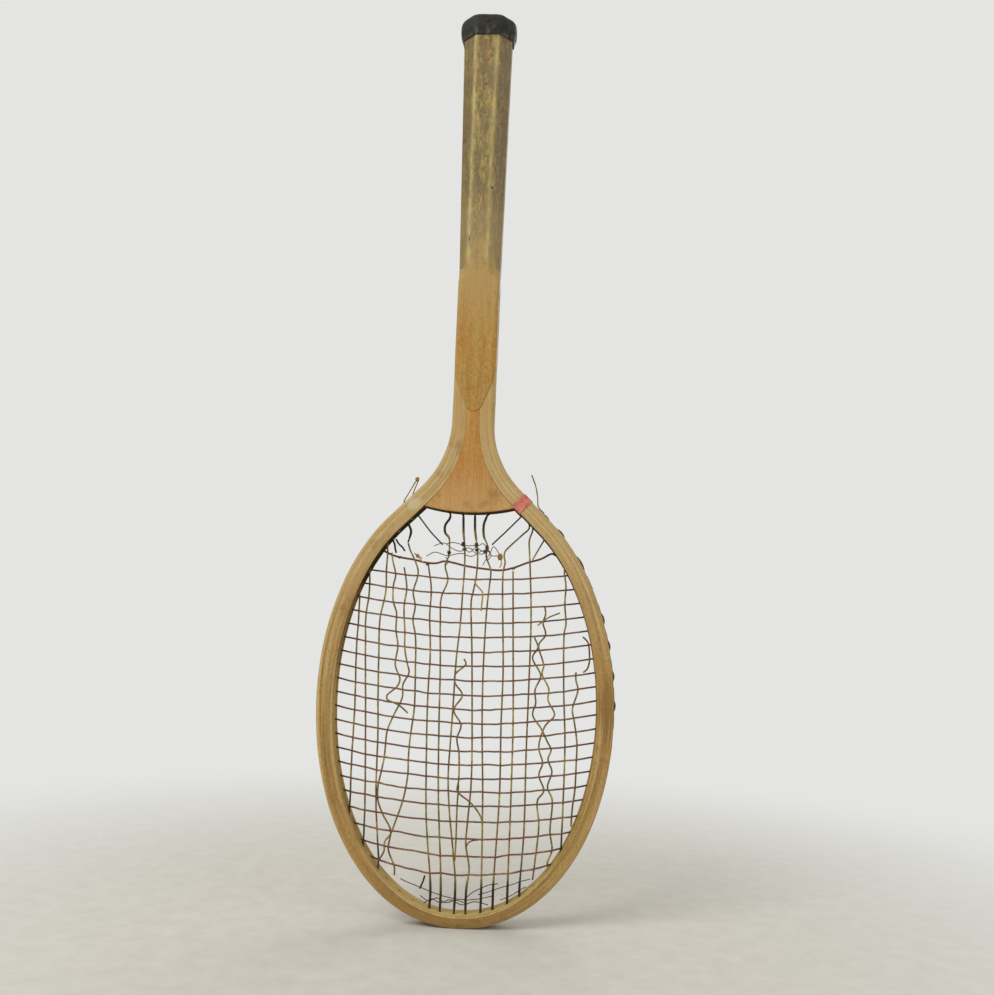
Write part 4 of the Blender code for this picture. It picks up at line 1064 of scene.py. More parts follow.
MAIN_ROUTES = {
    0: [(-81, 218), (-81.5, 190), (-80.6, 150), (-80.9, 110), (-80.5, 84)],
    1: [(-74.2, 229.8), (-75.7, 216.5), (-74.9, 192.4), (-72.1, 138.4), (-69.7, 83.5),
        (-69.3, 62.6)],
    2: [(-61.8, 260.7), (-62.1, 249.4), (-61.7, 234.6), (-65.2, 212.4), (-64.9, 192.7),
        (-63.6, 151.6), (-62.7, 133.8),
        (-61.7, 83.8), (-57.7, 41)],
    6: [(-30.9, 254.1), (-27.9, 236.6), (-28.3, 218.2), (-26.7, 190), (-27.2, 157.6), (-26.4, 115),
        (-24.6, 71.4), (-19.7, 25.2)],
    7: [(-15.9, 290), (-19.4, 284.3), (-19.2, 278.7), (-16.2, 275), (-15.6, 269.4), (-15.7, 262),
        (-18.2, 254.5), (-15.9, 243.5), (-20.2, 230.4), (-20.2, 212.1), (-18.9, 179.5),
        (-18.2, 140.1),
        (-16.6, 89.1), (-12.2, 25.6)],
    8: [(-5.9, 290), (-5.5, 279), (-4.3, 269), (-3.8, 254.2), (-4.5, 234.6), (-5.4, 210.8),
        (-7.4, 185.3),
        (-8.5, 149.4), (-9.4, 124.5), (-10, 102.7), (-8.5, 80.7), (-4.2, 48.1), (-2.1, 29.4)],
    9: [(2.7, 291.7), (3.1, 281.2), (4.1, 274.6), (5.7, 260.8), (5.1, 245.9), (3.3, 235.9),
        (2.1, 228.6),
        (3.6, 198), (4.9, 167.7), (6.8, 99.1), (5, 68.5), (4.5, 55.4), (7.5, 38.4), (6, 24.7)],
    10: [(11.6, 291.9), (9.5, 286), (9.8, 276.9), (12.8, 269.5), (12, 262.1), (15.7, 251.8),
         (15.2, 240.7),
         (14.2, 228.9), (13.4, 213.2), (12.7, 177), (13.2, 141.3), (15.4, 90.4), (16.6, 26.8)],
    11: [(43.4, 283.6), (38.6, 278.8), (27.6, 268.0), (25.8, 265.6), (25.4, 262.3),
         (26.2, 257.5), (25, 250.6), (27.3, 177.5),
         (27, 141.8), (27.5, 90.9), (25.1, 27.2)],
    12: [(32.3, 251.6), (33.8, 204.8), (35.7, 142.1), (35.8, 91.2), (35.3, 27.7)],
    13: [(46.0, 281.9), (43.8, 274.9), (44.1, 266), (44.7, 257.3), (46.6, 219), (46.4, 169.2),
         (45.8, 117.8),
         (45.8, 65.7), (43.8, 28)],
    16: [(70.3, 250.7), (71.6, 242.5), (71.2, 228.7), (72.3, 213.3), (71.3, 207.9), (71.7, 170.1),
         (73.6, 127.7), (73.2, 84.1), (72.5, 54.8)],
}

# Strings that no longer hold at both ends, with the number of layers in front of the weave.
LOOSE_ROUTES = {
    "broken_string_left_outer": [
        (-58.6, 262.6, 0), (-57.5, 256.5, 0), (-54.9, 246, 0), (-56.3, 238.5, 0),
        (-55.8, 226.7, 0), (-53.1, 218.3, 0),
        (-52.8, 205.5, 0), (-50.9, 193.9, 0), (-52.1, 180.1, 0), (-47.9, 170.2, 1),
        (-49.5, 165.1, 1),
        (-57, 157.9, 1), (-56.9, 155.6, 1), (-47.9, 151.5, 1), (-40.9, 146, 1),
    ],
    "broken_string_left_middle": [
        (-48.9, 252.1, 0), (-46.2, 236.6, 0), (-47.6, 223.3, 0), (-46.3, 205.8, 0),
        (-45.5, 191.2, 0),
        (-43.3, 181.1, 0), (-41.7, 175.1, 0), (-45.9, 165.9, 0), (-45.9, 156.9, 0),
        (-51.8, 143.5, 0),
        (-55.8, 132.6, 0), (-57.1, 113.8, 0), (-58.9, 103.2, 0), (-60.7, 92.6, 0), (-60.2, 83.1, 0),
        (-56.1, 73.6, 0), (-50.1, 62.7, 0), (-51, 49.5, 0), (-46.2, 37.7, 0), (-45.9, 31.9, 0),
    ],
    "broken_string_left_inner": [
        (-46.6, 270, 0), (-44.8, 264.8, 0), (-40.7, 256.8, 0), (-38.2, 249.4, 0),
        (-38.7, 244.2, 0), (-41.3, 234, 0), (-39.3, 223.6, 0), (-40.6, 213.3, 0),
        (-38.3, 202.4, 0), (-37.1, 175.2, 0), (-36.8, 148.3, 0), (-38.7, 129.7, 0),
        (-39.5, 113.4, 0),
        (-39.3, 102.9, 0), (-41.8, 85.3, 0), (-46.2, 70.5, 1), (-50, 59.9, 1), (-53.4, 55.6, 1),
        (-53.8, 48.7, 1), (-57.2, 42.4, 1),
    ],
    "broken_string_centre": [
        (-1.5, 186.4, 1), (0.1, 182.7, 1), (-7.3, 175.2, 1), (-7.5, 169.1, 1), (-1.7, 160.3, 1),
        (-7.6, 149.4, 1), (-1.9, 138.9, 1), (-4.5, 129.1, 1), (-2.7, 119.8, 1), (-2.1, 100.2, 1),
        (-2.7, 92.5, 1), (5.7, 85.8, 1), (10.3, 81.5, 1), (14.9, 74.8, 1), (16.1, 68.9, 1),
    ],
    "broken_string_right_inner": [
        (56.6, 226.6, 0), (57.2, 220.1, 0), (55.5, 214.6, 0), (57.6, 205.6, 0), (52.8, 198.2, 1),
        (55.8, 187.5, 1), (56.9, 183.2, 1), (55.7, 177.6, 1), (60.9, 167, 1), (60.6, 159, 1),
        (65.5, 148.5, 1), (58.9, 140.5, 1), (54.8, 125.2, 1), (57.8, 114.4, 1), (55.4, 105.9, 1),
        (59.2, 95, 1), (54.9, 87.8, 0), (56.3, 70.6, 0), (54.3, 46.5, 0), (52.9, 32.9, 0),
    ],
    "broken_string_right_outer": [
        (49.5, 203.5, 0), (52.3, 196.4, 0), (48.5, 189, 0), (54.8, 175.9, 0), (51, 165.8, 0),
        (51.7, 156, 0), (49.7, 148, 0), (56.1, 138.4, 0), (61, 129, 0), (63.7, 123.8, 0),
        (61.7, 116.7, 0), (64.7, 108.4, 0), (61.8, 97.2, 0), (65.3, 89, 0), (64.4, 66.5, 0),
        (66.1, 53.9, 0), (63.2, 45.9, 0), (62.8, 42.5, 0),
    ],
    "slack_string_right_upper": [
        (84.9, 205.1, 0), (88.6, 201.2, 0), (89.7, 195.8, 0), (89.9, 186.4, 0), (88.2, 181.6, 0),
        (85.6, 179.4, 0),
    ],
    "slack_string_right_lower": [
        (80.4, 179.4, 0), (80.5, 174, 0), (82.1, 166.9, 0), (78.4, 152.6, 0), (79.7, 145.5, 0),
        (82.1, 129.8, 0), (81.9, 110.5, 0), (81.5, 96.6, 0), (80, 84.4, 0), (79.2, 70.6, 0),
    ],
    "throat_string_left_end": [
        (-48.4, 289, 0), (-47.2, 285, 0), (-44.7, 279.1, 0), (-45.9, 273, 0), (-46.7, 270.4, 0),
    ],
    "throat_string_left": [
        (-42, 293, 1), (-40, 291.2, 1), (-29.7, 278.7, 1), (-20.3, 269.3, 1),
    ],
    "throat_string_right": [
        (38.5, 293.2, 1), (26.2, 280.4, 1), (16.2, 270.4, 1),
    ],
    "throat_string_right_end": [
        (57.4, 279, 0), (55.3, 276, 0), (46.5, 260.3, 0),
    ],
    "toe_string_end": [
        (-26.8, 24.6, 1), (-24.6, 30.1, 1), (-23.7, 33.6, 1),
    ],
}

THROAT_CROSS = [
    (-64.2, 262), (-56.6, 260.4), (-48.3, 258.8), (-41.5, 257.9), (-34, 256.2), (-25.7, 255.7),
    (-19.1, 257.4), (-10.9, 256.2), (-3.4, 254.5), (11.6, 252.6), (23.4, 252), (32.8, 254.2),
    (42.9, 258.2), (52.7, 261.2), (61.1, 265.4),
]

# Pieces of string that hang in the net, with their colour and their radius in millimetres
SCRAPS = {
    "gut_scrap_right": ("gut", 0.55, [(51.5, 212.2), (59, 218), (67.7, 221.9)]),
    "gut_scrap_golden": ("golden", 0.6, [(4.2, 244), (5.2, 241), (9.1, 236.9), (10.3, 235.1),
                                         (9.7, 221.5)]),
    "gut_scrap_centre": ("gut", 0.6, [(-2.1, 97), (-2.6, 80), (-2.5, 62), (-2.8, 44)]),
    "gut_scrap_toe_loop": ("red", 0.5, [(4.6, 53), (6.5, 57), (9.6, 58.6), (13.3, 59.2)]),
    "gut_squiggle_left": ("dark", 0.75, [(-58.6, 275.5), (-57.6, 271.5), (-56.4, 268.6),
                                         (-55.9, 265.6), (-54.9, 262.4)]),
    "gut_squiggle_inner": ("dark", 0.7, [(-55.6, 272.6), (-53.4, 269.2), (-50.4, 266.6),
                                         (-48.6, 263.9)]),
}

# Remains of the fine stringing: thin threads that cross the mains under the wedge and over the toe
THREADS = {
    "fine_gut_throat": [
        [(-17.6, 270.4), (-13, 271.4), (-6.4, 270), (-2, 269.4), (4.4, 269.6)],
        [(-32.5, 260.6), (-26, 263.8), (-17.2, 261.6), (-8.2, 263.4), (-3.2, 263.2)],
        [(-5.6, 269.8), (-0.6, 264.6), (4.4, 268.2), (9.6, 265.4), (14.2, 268)],
        [(-3.8, 262.8), (1.2, 261.6), (7, 264.8), (12.4, 266.4), (16.4, 262.4), (20.4, 262.6)],
        [(9.8, 255), (12.2, 259.8), (14.6, 263.6), (17.4, 269.2), (21.6, 264), (23.6, 260.4)],
        [(-18.2, 260.4), (-15.8, 257.2), (-17.8, 254.2)],
        [(-27, 268.6), (-20, 270.8), (-14, 267.4), (-8, 265), (-3, 266.6)],
        [(-6, 266.8), (0, 267.6), (3.4, 264.6), (9.6, 263.4), (13.2, 265.6)],
        [(6, 269.4), (9.4, 271), (13.6, 266.6), (15.6, 262.4), (13.2, 258.6)],
    ],
    "fine_gut_toe": [
        [(-41.4, 30.1), (-32.7, 27), (-24, 24), (-15.3, 21), (-5.2, 18.7), (5.5, 17.9),
         (16.1, 19), (24.6, 21.4)],
        [(14.6, 21.7), (21.6, 24), (30, 27.1), (37.1, 29.4), (44.1, 31.8), (51.1, 34.1)],
        [(30.3, 19), (37.3, 22), (44.2, 26.4), (48.4, 28.6)],
        [(-23.6, 14.5), (-18, 17.5), (-12.2, 15), (-5.1, 17.4), (3.5, 14.4), (12.6, 16.8),
         (21.9, 15.2)],
        [(4.6, 17.6), (9.4, 22.4), (15.6, 25.8), (21.4, 28.4), (28.6, 29.8)],
        [(-26.4, 19.4), (-20.6, 16.2), (-14.4, 18.4), (-8.8, 15.6), (-1.4, 17.2), (6.4, 15.4)],
    ],
}

FAN_COUNT = 5
FAN_RISE = 0.0088
STRING_STEP = 0.0012
THREAD_STEP = 0.0008
THREAD_RADIUS = 0.00034
LOOP_RADIUS = 0.0006
THROAT_CROSS_RADIUS = 0.00078


def reached(p, q, start, end, t):
    """Where a point is at t, if it is at p at the start and at q at the end."""
    return p + (q - p) * (t - start) / (end - start)


def curve(points, step):
    """A smooth line through the points, in equal steps of about the given length."""
    points = [np.array(point, float) for point in points]
    points = [2 * points[0] - points[1]] + points + [2 * points[-1] - points[-2]]
    line = []
    for a, b, c, d in zip(points, points[1:], points[2:], points[3:]):
        knots = [0.0]
        for p, q in ((a, b), (b, c), (c, d)):
            knots.append(knots[-1] + max(float(np.linalg.norm(q[:2] - p[:2])), 1e-6) ** 0.5)
        k0, k1, k2, k3 = knots
        count = max(int(np.linalg.norm(c[:2] - b[:2]) / step), 1)
        for i in range(count):
            t = mix(k1, k2, i / count)
            ab, bc = reached(a, b, k0, k1, t), reached(b, c, k1, k2, t)
            cd = reached(c, d, k2, k3, t)
            abc, bcd = reached(ab, bc, k0, k2, t), reached(bc, cd, k1, k3, t)
            line.append(reached(abc, bcd, k1, k2, t))
    line.append(points[-2])
    return line


def rounded(points, radius):
    """The same line with each sharp bend replaced by a short arc."""
    points = [Vector(point) for point in points]
    line = [points[0]]
    for before, corner, after in zip(points, points[1:], points[2:]):
        start = before - corner
        end = after - corner
        if start.length < 1e-7 or end.length < 1e-7:
            continue
        bend = pi - start.angle(end)
        if bend < radians(24.0):
            line.append(corner)
            continue
        reach = min(radius * tan(min(bend, 2.6) / 2), 0.45 * start.length, 0.45 * end.length)
        first = corner + start.normalized() * reach
        last = corner + end.normalized() * reach
        for i in range(6):
            t = i / 5
            line.append(first.lerp(corner, t).lerp(corner.lerp(last, t), t))
    line.append(points[-1])
    return line


WEDGE_CORNER = wedge_side()[0]


def inner_edge(x, upper):
    """Height of the bed's edge at a distance across: the wedge, the shoulder or the toe."""
    x = abs(x)
    if upper and x < WEDGE_CORNER[0]:
        return wedge_edge(x)
    return RAIL.at(RAIL.crossing(0, x, None, upper), None)[1]


def fan_place(number):
    """Place along the rail of a hole in the fan, which ends at the first hole beside it."""
    top = RAIL.foot + FAN_RISE
    beside = RAIL.crossing(0, (FAN_COUNT + 0.5) * MAIN_PITCH, GROOVE_LOOP, True)
    return mix(top, beside, number / FAN_COUNT)


def main_hole(x, upper, fan=None):
    """A main string's hole: its side, its place along the rail, its entry and its outer end."""
    side = 1 if x > 0 else -1
    entry = (abs(x), inner_edge(x, upper))
    place = RAIL.crossing(0, abs(x), GROOVE_LOOP, upper) if fan is None else fan_place(fan)
    return side, place, entry, RAIL.at(place, GROOVE_LOOP)


CROSS_EVEN_COUNT = CROSS_COUNT - 1 - CROSS_WIDE_COUNT
CROSS_PITCH = (CROSS_TOP - CROSS_BOTTOM) / (CROSS_EVEN_COUNT + CROSS_WIDE_COUNT * CROSS_WIDENING)


def cross_z(number):
    """Height of a cross string at the rails; the last ones lie further apart."""
    steps = min(number, CROSS_EVEN_COUNT) + CROSS_WIDENING * max(number - CROSS_EVEN_COUNT, 0)
    return CROSS_TOP - steps * CROSS_PITCH


def cross_hole(z):
    """A cross string's hole on the right: its place along the rail, its entry and outer end."""
    upper = z > HEAD_LOWER_HEIGHT
    entry = (RAIL.at(RAIL.crossing(1, z, None, upper), None)[0], z)
    place = RAIL.crossing(1, z, SIDE_LOOP, upper)
    return place, entry, RAIL.at(place, SIDE_LOOP)


def cross_line(number):
    """The plan of one cross string between its two holes."""
    z = cross_z(number)
    half = cross_hole(z)[1][0]
    near_toe = max(number - CROSS_EVEN_COUNT, 0) / CROSS_WIDE_COUNT
    sag = 0.0050 + 0.0045 * sin(pi * number / (CROSS_COUNT - 1)) + 0.0050 * near_toe**2
    points = []
    steps = max(int(2 * half / STRING_STEP), 8)
    for i in range(steps + 1):
        t = 2 * i / steps - 1
        x = half * t
        waver = 0.0007 * wander(x, 55.0, number + 0.5) + 0.0004 * wander(x, 160.0, number + 40)
        points.append((x, z - sag * (1 - t * t) + waver * (1 - t**4)))
    return np.array(points)


CROSSES = [cross_line(number) for number in range(CROSS_COUNT)]


def cross_height(number, x):
    """Height of a cross string at a distance across."""
    line = CROSSES[number]
    return np.interp(x, line[:, 0], line[:, 1])


STITCH_MAIN = 0.00042
STITCH_CROSS = 0.00096
LAYER = 0.0021
STAIN_REACH = 0.0013

# Where each cross meets the mains, and on which side it passes them; main_bed fills it
MEETINGS = [[] for _ in range(CROSS_COUNT)]


def smoothed(y):
    """Takes the corners off a weave."""
    return np.convolve(np.pad(y, 2, mode="edge"), np.ones(5) / 5, mode="valid")


def marked(line, y, stains, dark):
    """The points of a string in the bed, each with its marks."""
    return [((x, d, z), (s, k)) for (x, z), d, s, k in zip(line, y, stains, dark)]


def main_bed(number, route):
    """Points of a main string in the bed, woven over and under the crosses, with its stains."""
    spots = curve(route, STRING_STEP)
    line = np.array([spot[:2] for spot in spots])
    layers = np.array([spot[2] if len(spot) > 2 else 0.0 for spot in spots])
    length = distances(line)
    knots = []
    heights = []
    stains = np.zeros(len(line))
    for cross in range(CROSS_COUNT):
        gap = line[:, 1] - cross_height(cross, line[:, 0])
        inside = np.abs(line[:, 0]) < CROSSES[cross][-1, 0]
        for i in np.nonzero((gap[:-1] * gap[1:] < 0) & inside[:-1])[0]:
            front = -1 if (number + cross) % 2 or layers[i] > 0.5 else 1
            knots.append(length[i])
            heights.append(front * STITCH_MAIN)
            stains = np.maximum(stains, np.exp(-(((length - length[i]) / STAIN_REACH) ** 2)))
            MEETINGS[cross].append((float(line[i, 0]), -front * STITCH_CROSS))
    y = np.full(len(line), MAIN_PLANE)
    if knots:
        order = np.argsort(knots)
        y = smoothed(np.interp(length, np.array(knots)[order], np.array(heights)[order]))
    return line, length, y - layers * LAYER, stains


def to_hole(y, length, plane, at_start, at_end):
    """Leads the weave into the plane of the holes at the ends."""
    near_start = np.clip(1 - length / 0.009, 0, 1) if at_start else 0.0
    near_end = np.clip(1 - (length[-1] - length) / 0.009, 0, 1) if at_end else 0.0
    share = np.maximum(near_start, near_end)
    share = share * share * (3 - 2 * share)
    return y * (1 - share) + plane * share


FANS = {7: 1, 8: 0, 9: 0, 10: 1, 11: 2, 13: 4}
OPEN_TOPS = (6, 12)
# Heights down to which the mains are black under the wedge
TARRED = {7: 0.2745, 8: 0.2785, 9: 0.2785, 10: 0.2760, 11: 0.2740, 13: 0.2790}


def build_main(number):
    """One main string: its bed with marks, and its two holes."""
    route = unwarped(MAIN_ROUTES[number])
    throat = None
    toe = main_hole(route[-1][0], False)
    if number not in OPEN_TOPS:
        throat = main_hole(route[0][0], True, FANS.get(number))
        side, _, (x, z), _ = throat
        route = [(side * x, z)] + [point for point in route if point[1] < z - 0.002]
    side, _, (x, z), _ = toe
    route = [point for point in route if point[1] > z + 0.002] + [(side * x, z)]
    line, length, y, stains = main_bed(number, route)
    y = to_hole(y, length, MAIN_PLANE, throat is not None, True)
    strength = 0.6 if number > 10 else 0.97
    dark = np.clip((line[:, 1] - TARRED.get(number, 0.2675)) / 0.004, 0, 1) * strength
    above_toe = line[:, 1] - line[-1, 1]
    dark = np.maximum(dark, np.clip(2 - above_toe / 0.012, 0, 1) * 0.92)
    return marked(line, y, stains, dark), (throat, toe)


MAINS = {number: build_main(number) for number in sorted(MAIN_ROUTES)}


def outside(hole):
    """A main string's way through its hole, from the bed to the groove."""
    side, _, entry, out = hole
    # The marks darken the string where it goes into the wood: painted shade in the hole.
    ends = ((entry, 0.9), (out, 0.5))
    return [((side * x, MAIN_PLANE, z), (0.2, dark)) for (x, z), dark in ends]


def lying(first, second, depth, plane):
    """Points along the rail's outer face between two holes on one side, or under the toe."""
    side, start = first
    other, end = second
    points = []
    if side == other:
        for share in (0.2, 0.4, 0.6, 0.8):
            x, z = RAIL.at(mix(start, end, share), depth)
            points.append((side * x, plane, z))
    else:
        for place, hand in ((start * 0.5, side), (0.0, side), (end * 0.5, other)):
            x, z = RAIL.at(place, depth)
            points.append((hand * x, plane, z))
    return points


def swollen(x, z):
    """The tarred ends of the mains are thicker, except inside their holes."""
    throat = ease((z - 0.2725) / 0.004) * (1 - ease((z - 0.2905) / 0.0025))
    throat *= 1 - ease((x - 0.018) / 0.006)
    toe = ease((0.036 - z) / 0.010) * ease((z - 0.0095) / 0.002)
    return 1 + 0.45 * throat + 0.4 * toe


def add_line(skin, pieces, radius, swell=False):
    """Sweeps a string through its marked points, with its sharp bends rounded."""
    points = [Vector(point) for point, _ in pieces]
    clean = []
    marks = []
    k = 0
    for spot in rounded(points, 0.0012):
        while k + 1 < len(points) and (points[k + 1] - spot).length <= (points[k] - spot).length:
            k += 1
        if not clean or (spot - clean[-1]).length > 0.00005:
            clean.append(spot)
            marks.append(pieces[k][1])
    sweep(skin, clean, radius, 9, marks, swell)


def chain(skin, numbers):
    """A run of neighbouring mains, joined outside the rail at the toe and the throat."""
    pieces = []
    rising = False
    for i, number in enumerate(numbers):
        bed, holes = MAINS[number]
        run = (outside(holes[0])[::-1] if holes[0] else []) + bed + outside(holes[1])
        if rising:
            run.reverse()
        if pieces:
            before = MAINS[numbers[i - 1]][1]
            end = 1 if rising else 0
            for spot in lying(before[end][:2], holes[end][:2], GROOVE_LOOP, MAIN_PLANE):
                pieces.append((spot, (0.3, 0.35)))
        pieces += run
        rising = not rising
    add_line(skin, pieces, STRING_RADIUS, True)


def string_piece(name, skin, material, slot, *nodes):
    """Makes an object of swept string and puts it in its place."""
    settled(finished(name, skin.shape, material, 60.0), slot, *nodes)


MAIN_PIECES = (
    ("gut_mains_left", "main_string_left", ([0, 1, 2],)),
    ("gut_mains_centre", "main_string_centre", ([6, 7, 8, 9, 10, 11], [12, 13])),
    ("gut_main_right", "main_string_right", ([16],)),
)


def make_mains(materials):
    """The mains that are whole, in runs of one string."""
    for name, node, runs in MAIN_PIECES:
        skin = Skin()
        for numbers in runs:
            chain(skin, numbers)
        string_piece(name, skin, materials["gut"], "gut", node)


SLANTING = ("throat_string_left", "throat_string_right", "throat_string_right_end")


def make_loose(materials):
    """The broken and slack strings.

    The number given to main_bed, odd or even, says which crosses a string passes in front of.
    """
    for number, (name, route) in enumerate(LOOSE_ROUTES.items()):
        line, _, y, stains = main_bed(number + (3 if number < 3 else 2), unwarped(route))
        dark = np.clip((line[:, 1] - 0.2665) / 0.005, 0, 1) * 0.95
        if name == "throat_string_right_end":
            dark = dark * 0.5
        dark = np.maximum(dark, np.clip((0.042 - line[:, 1]) / 0.012, 0, 1) * 0.7)
        skin = Skin()
        radius = STRING_RADIUS * (0.9 if name in SLANTING else 1.0)
        add_line(skin, marked(line, y, stains, dark), radius, name == "throat_string_left_end")
        finish = materials["dark" if name == "toe_string_end" else "gut"]
        string_piece("gut_" + name, skin, finish, "gut", name)


def make_crosses(materials):
    """The crosses: one long string, to and fro between the rails."""
    pieces = []
    for number in range(CROSS_COUNT):
        line = CROSSES[number]
        xs, ys = zip(*sorted(MEETINGS[number]))
        length = line[:, 0] - line[0, 0]
        y = to_hole(smoothed(np.interp(line[:, 0], xs, ys)), length, CROSS_PLANE, True, True)
        nearest = np.min(np.abs(line[:, 0][:, None] - np.array(xs)[None, :]), axis=1)
        stains = 0.3 + 0.6 * np.exp(-((nearest / STAIN_REACH) ** 2))
        ends = np.minimum(length, length[-1] - length)
        # Darker within 7 mm of each rail: painted shade where the string runs in by the rail.
        dark = np.clip(1 - ends / 0.007, 0, 1) * 0.7
        place, _, (x, z) = cross_hole(cross_z(number))
        left, right = (((hand * x, CROSS_PLANE, z), (0.5, 0.5)) for hand in (-1, 1))
        run = [left] + marked(line, y, stains, dark) + [right]
        side = -1 if number % 2 else 1
        pieces += run[::side]
        if number + 1 < CROSS_COUNT:
            below = cross_hole(cross_z(number + 1))[0]
            for spot in lying((side, place), (side, below), SIDE_LOOP, CROSS_PLANE):
                pieces.append((spot, (0.4, 0.3)))
    skin = Skin()
    add_line(skin, pieces, STRING_RADIUS)
    string_piece("gut_crosses", skin, materials["cross"], "gut", "cross_string")


def make_throat_cross(materials):
    """The heavy reddish string under the wedge, behind the mains."""
    z = THROAT_CROSS_Z
    half = RAIL.at(RAIL.crossing(1, z, None, True), None)[0]
    out = RAIL.at(RAIL.crossing(1, z, GROOVE_LOOP, True), GROOVE_LOOP)
    plan = [spot for spot in unwarped(THROAT_CROSS) if abs(spot[0]) < half - 0.002]
    line = np.array(curve([(-half, z)] + plan + [(half, z)], STRING_STEP))
    y = to_hole(np.full(len(line), 0.0009), distances(line), CROSS_PLANE, True, True)
    left, right = (((hand * out[0], CROSS_PLANE, out[1]), (0.5, 0.8)) for hand in (-1, 1))
    pieces = [left]
    for (x, h), d in zip(line, y):
        dark = 0.2 + 0.3 * abs(wander(x, 90.0, 2)) + 0.5 * ease((abs(x) - 0.045) / 0.02)
        pieces.append(((x, d, h), (0.8, dark)))
    skin = Skin()
    add_line(skin, pieces + [right], THROAT_CROSS_RADIUS)
    string_piece("gut_throat_cross", skin, materials["red"], "red_gut", "throat_cross_string")


# Loops on the right rail, in millimetres: places below the shoulder's foot, and how far they
# stand proud
RAIL_LOOPS = (
    (-32.7, -22.7, 1.3), (-50.7, -37.2, 1.6), (-79.7, -60.7, 1.5), (-119.5, -107.5, 1.6),
    (-139, -127.5, 1.5), (-161, -149.5, 1.5), (-182.5, -170.5, 1.5),
)

# Knots and ties: the piece, its colour, and its coils, each with its place across and up, its
# depth, radius and height and its thread's radius, in millimetres, and its turns
KNOTS = {
    "fine_gut_knots": ("dark", (
        (-4.6, 270.4, -0.4, 1.25, 3.6, 0.42, 3.2), (-3.4, 266.8, -0.4, 1.25, 1.8, 0.42, 2.2),
        (5.4, 270.2, -0.4, 1.25, 3.4, 0.42, 3.4), (5.8, 266.4, -0.4, 1.25, 2.0, 0.42, 2.4),
        (-14.9, 264.0, -0.4, 1.25, 2.6, 0.42, 2.6),
    )),
    "reddish_gut_knots": ("red", (
        (13.2, 268.4, -0.4, 1.20, 3.6, 0.42, 3.4), (11.8, 265.2, -0.4, 1.20, 1.6, 0.42, 2.0),
    )),
    "golden_gut_knots": ("golden", (
        (23.2, 261.8, -0.4, 1.6, 4.2, 0.6, 3.6), (-38.5, 260.8, -0.6, 1.0, 2.2, 0.5, 2.4),
    )),
    "gut_ties_on_throat_cross": ("gut", (
        (-30.8, 254.9, 0.6, 1.25, 1.6, 0.42, 1.8), (33.2, 253.6, 0.6, 1.1, 1.6, 0.42, 1.8),
        (-51.8, 259.4, 0.6, 1.1, 1.6, 0.42, 1.8),
    )),
}
GOLDEN_TAILS = (
    [(-39, 261.4), (-37.4, 258.6), (-34.6, 256.2)],
    [(-42, 262.6), (-39.4, 261.6), (-37.6, 260.2), (-35.6, 258.8)],
    [(23.2, 260), (23.4, 256.6), (22.4, 253.8)],
)

# Cut ends: the strand's radius in millimetres, and the strands' paths from the rail outwards
CUT_ENDS = {
    "loose_end_left": (0.44, (
        [(-51.1, 300.4), (-47.4, 308.2), (-45.1, 312.5), (-42.9, 316.4), (-40.7, 318.4)],
        [(-44.6, 306.4), (-44.0, 309.0), (-42.0, 314.4), (-40.7, 318.0)],
    )),
    "loose_end_right": (0.5, (
        [(54.1, 294.8), (51.1, 297.9), (49.6, 300.4), (49.0, 306.7), (47.6, 314.5),
         (45.8, 319.6), (44.1, 323.7)],
    )),
}


def coil(skin, x, z, y, radius, height, thread, turns):
    """A few turns of fine gut wound round a string."""
    points = []
    steps = int(turns * 14)
    for i in range(steps + 1):
        angle = 2 * pi * turns * i / steps
        reach = radius * (0.55 + 0.45 * sin(pi * i / steps)) * (1 + 0.12 * wander(i, 0.4, x * 900))
        rise = height * (0.5 - i / steps)
        points.append((x + reach * cos(angle), y + reach * sin(angle), z + rise))
    sweep(skin, points, thread, 7, [(0.3, 0.4)] * len(points))


def make_knots(materials):
    """Knots under the wedge, where the fine stringing was tied, and ties on the heavy string."""
    for name, (finish, coils) in KNOTS.items():
        skin = Skin()
        for *sizes, turns in coils:
            coil(skin, *(size * MM for size in sizes), turns)
        for points in GOLDEN_TAILS if finish == "golden" else ():
            line = [(x, -0.0006, z) for x, z in curve(unwarped(points), THREAD_STEP)]
            sweep(skin, line, 0.0005, 8, [(0.1, 0.0)] * len(line))
        string_piece(name, skin, materials[finish], "gut")


def make_scraps(materials):
    """The scraps and the thin threads that hang in the net."""
    for name, (finish, radius, route) in SCRAPS.items():
        skin = Skin()
        points = curve(unwarped(route), THREAD_STEP)
        line = [(x, -0.0020 - 0.0004 * wander(z, 120.0, 5), z) for x, z in points]
        sweep(skin, line, radius * MM, 8, [(0.3, 0.15)] * len(line))
        string_piece(name, skin, materials[finish], "gut")
    for name, routes in THREADS.items():
        skin = Skin()
        for number, route in enumerate(routes):
            points = curve(unwarped(route), THREAD_STEP)
            depth = -0.0014 - 0.0003 * (number % 3)
            line = [(x, depth, z + 0.0003 * wander(x, 200.0, number)) for x, z in points]
            sweep(skin, line, THREAD_RADIUS, 6, [(0.3, 0.3)] * len(line))
        string_piece(name, skin, materials["brown" if "throat" in name else "dark"], "gut")


def make_rail_loops(materials):
    """String that stands out of the groove between the holes of the right shoulder."""
    skin = Skin()
    for start, end, lift in RAIL_LOOPS:
        start, end, lift = RAIL.foot + start * MM, RAIL.foot + end * MM, lift * MM
        points = []
        for share in np.linspace(0.0, 1.0, 15):
            depth = GROOVE_DEPTH + 0.0004 - (GROOVE_DEPTH + lift) * sin(share * pi) ** 0.6
            x, z = RAIL.at(mix(start, end, share), depth)
            points.append((x, -0.0004, z))
        sweep(skin, points, LOOP_RADIUS, 8, [(0.5, 0.4)] * len(points))
    string_piece("gut_rail_loops", skin, materials["gut"], "gut")


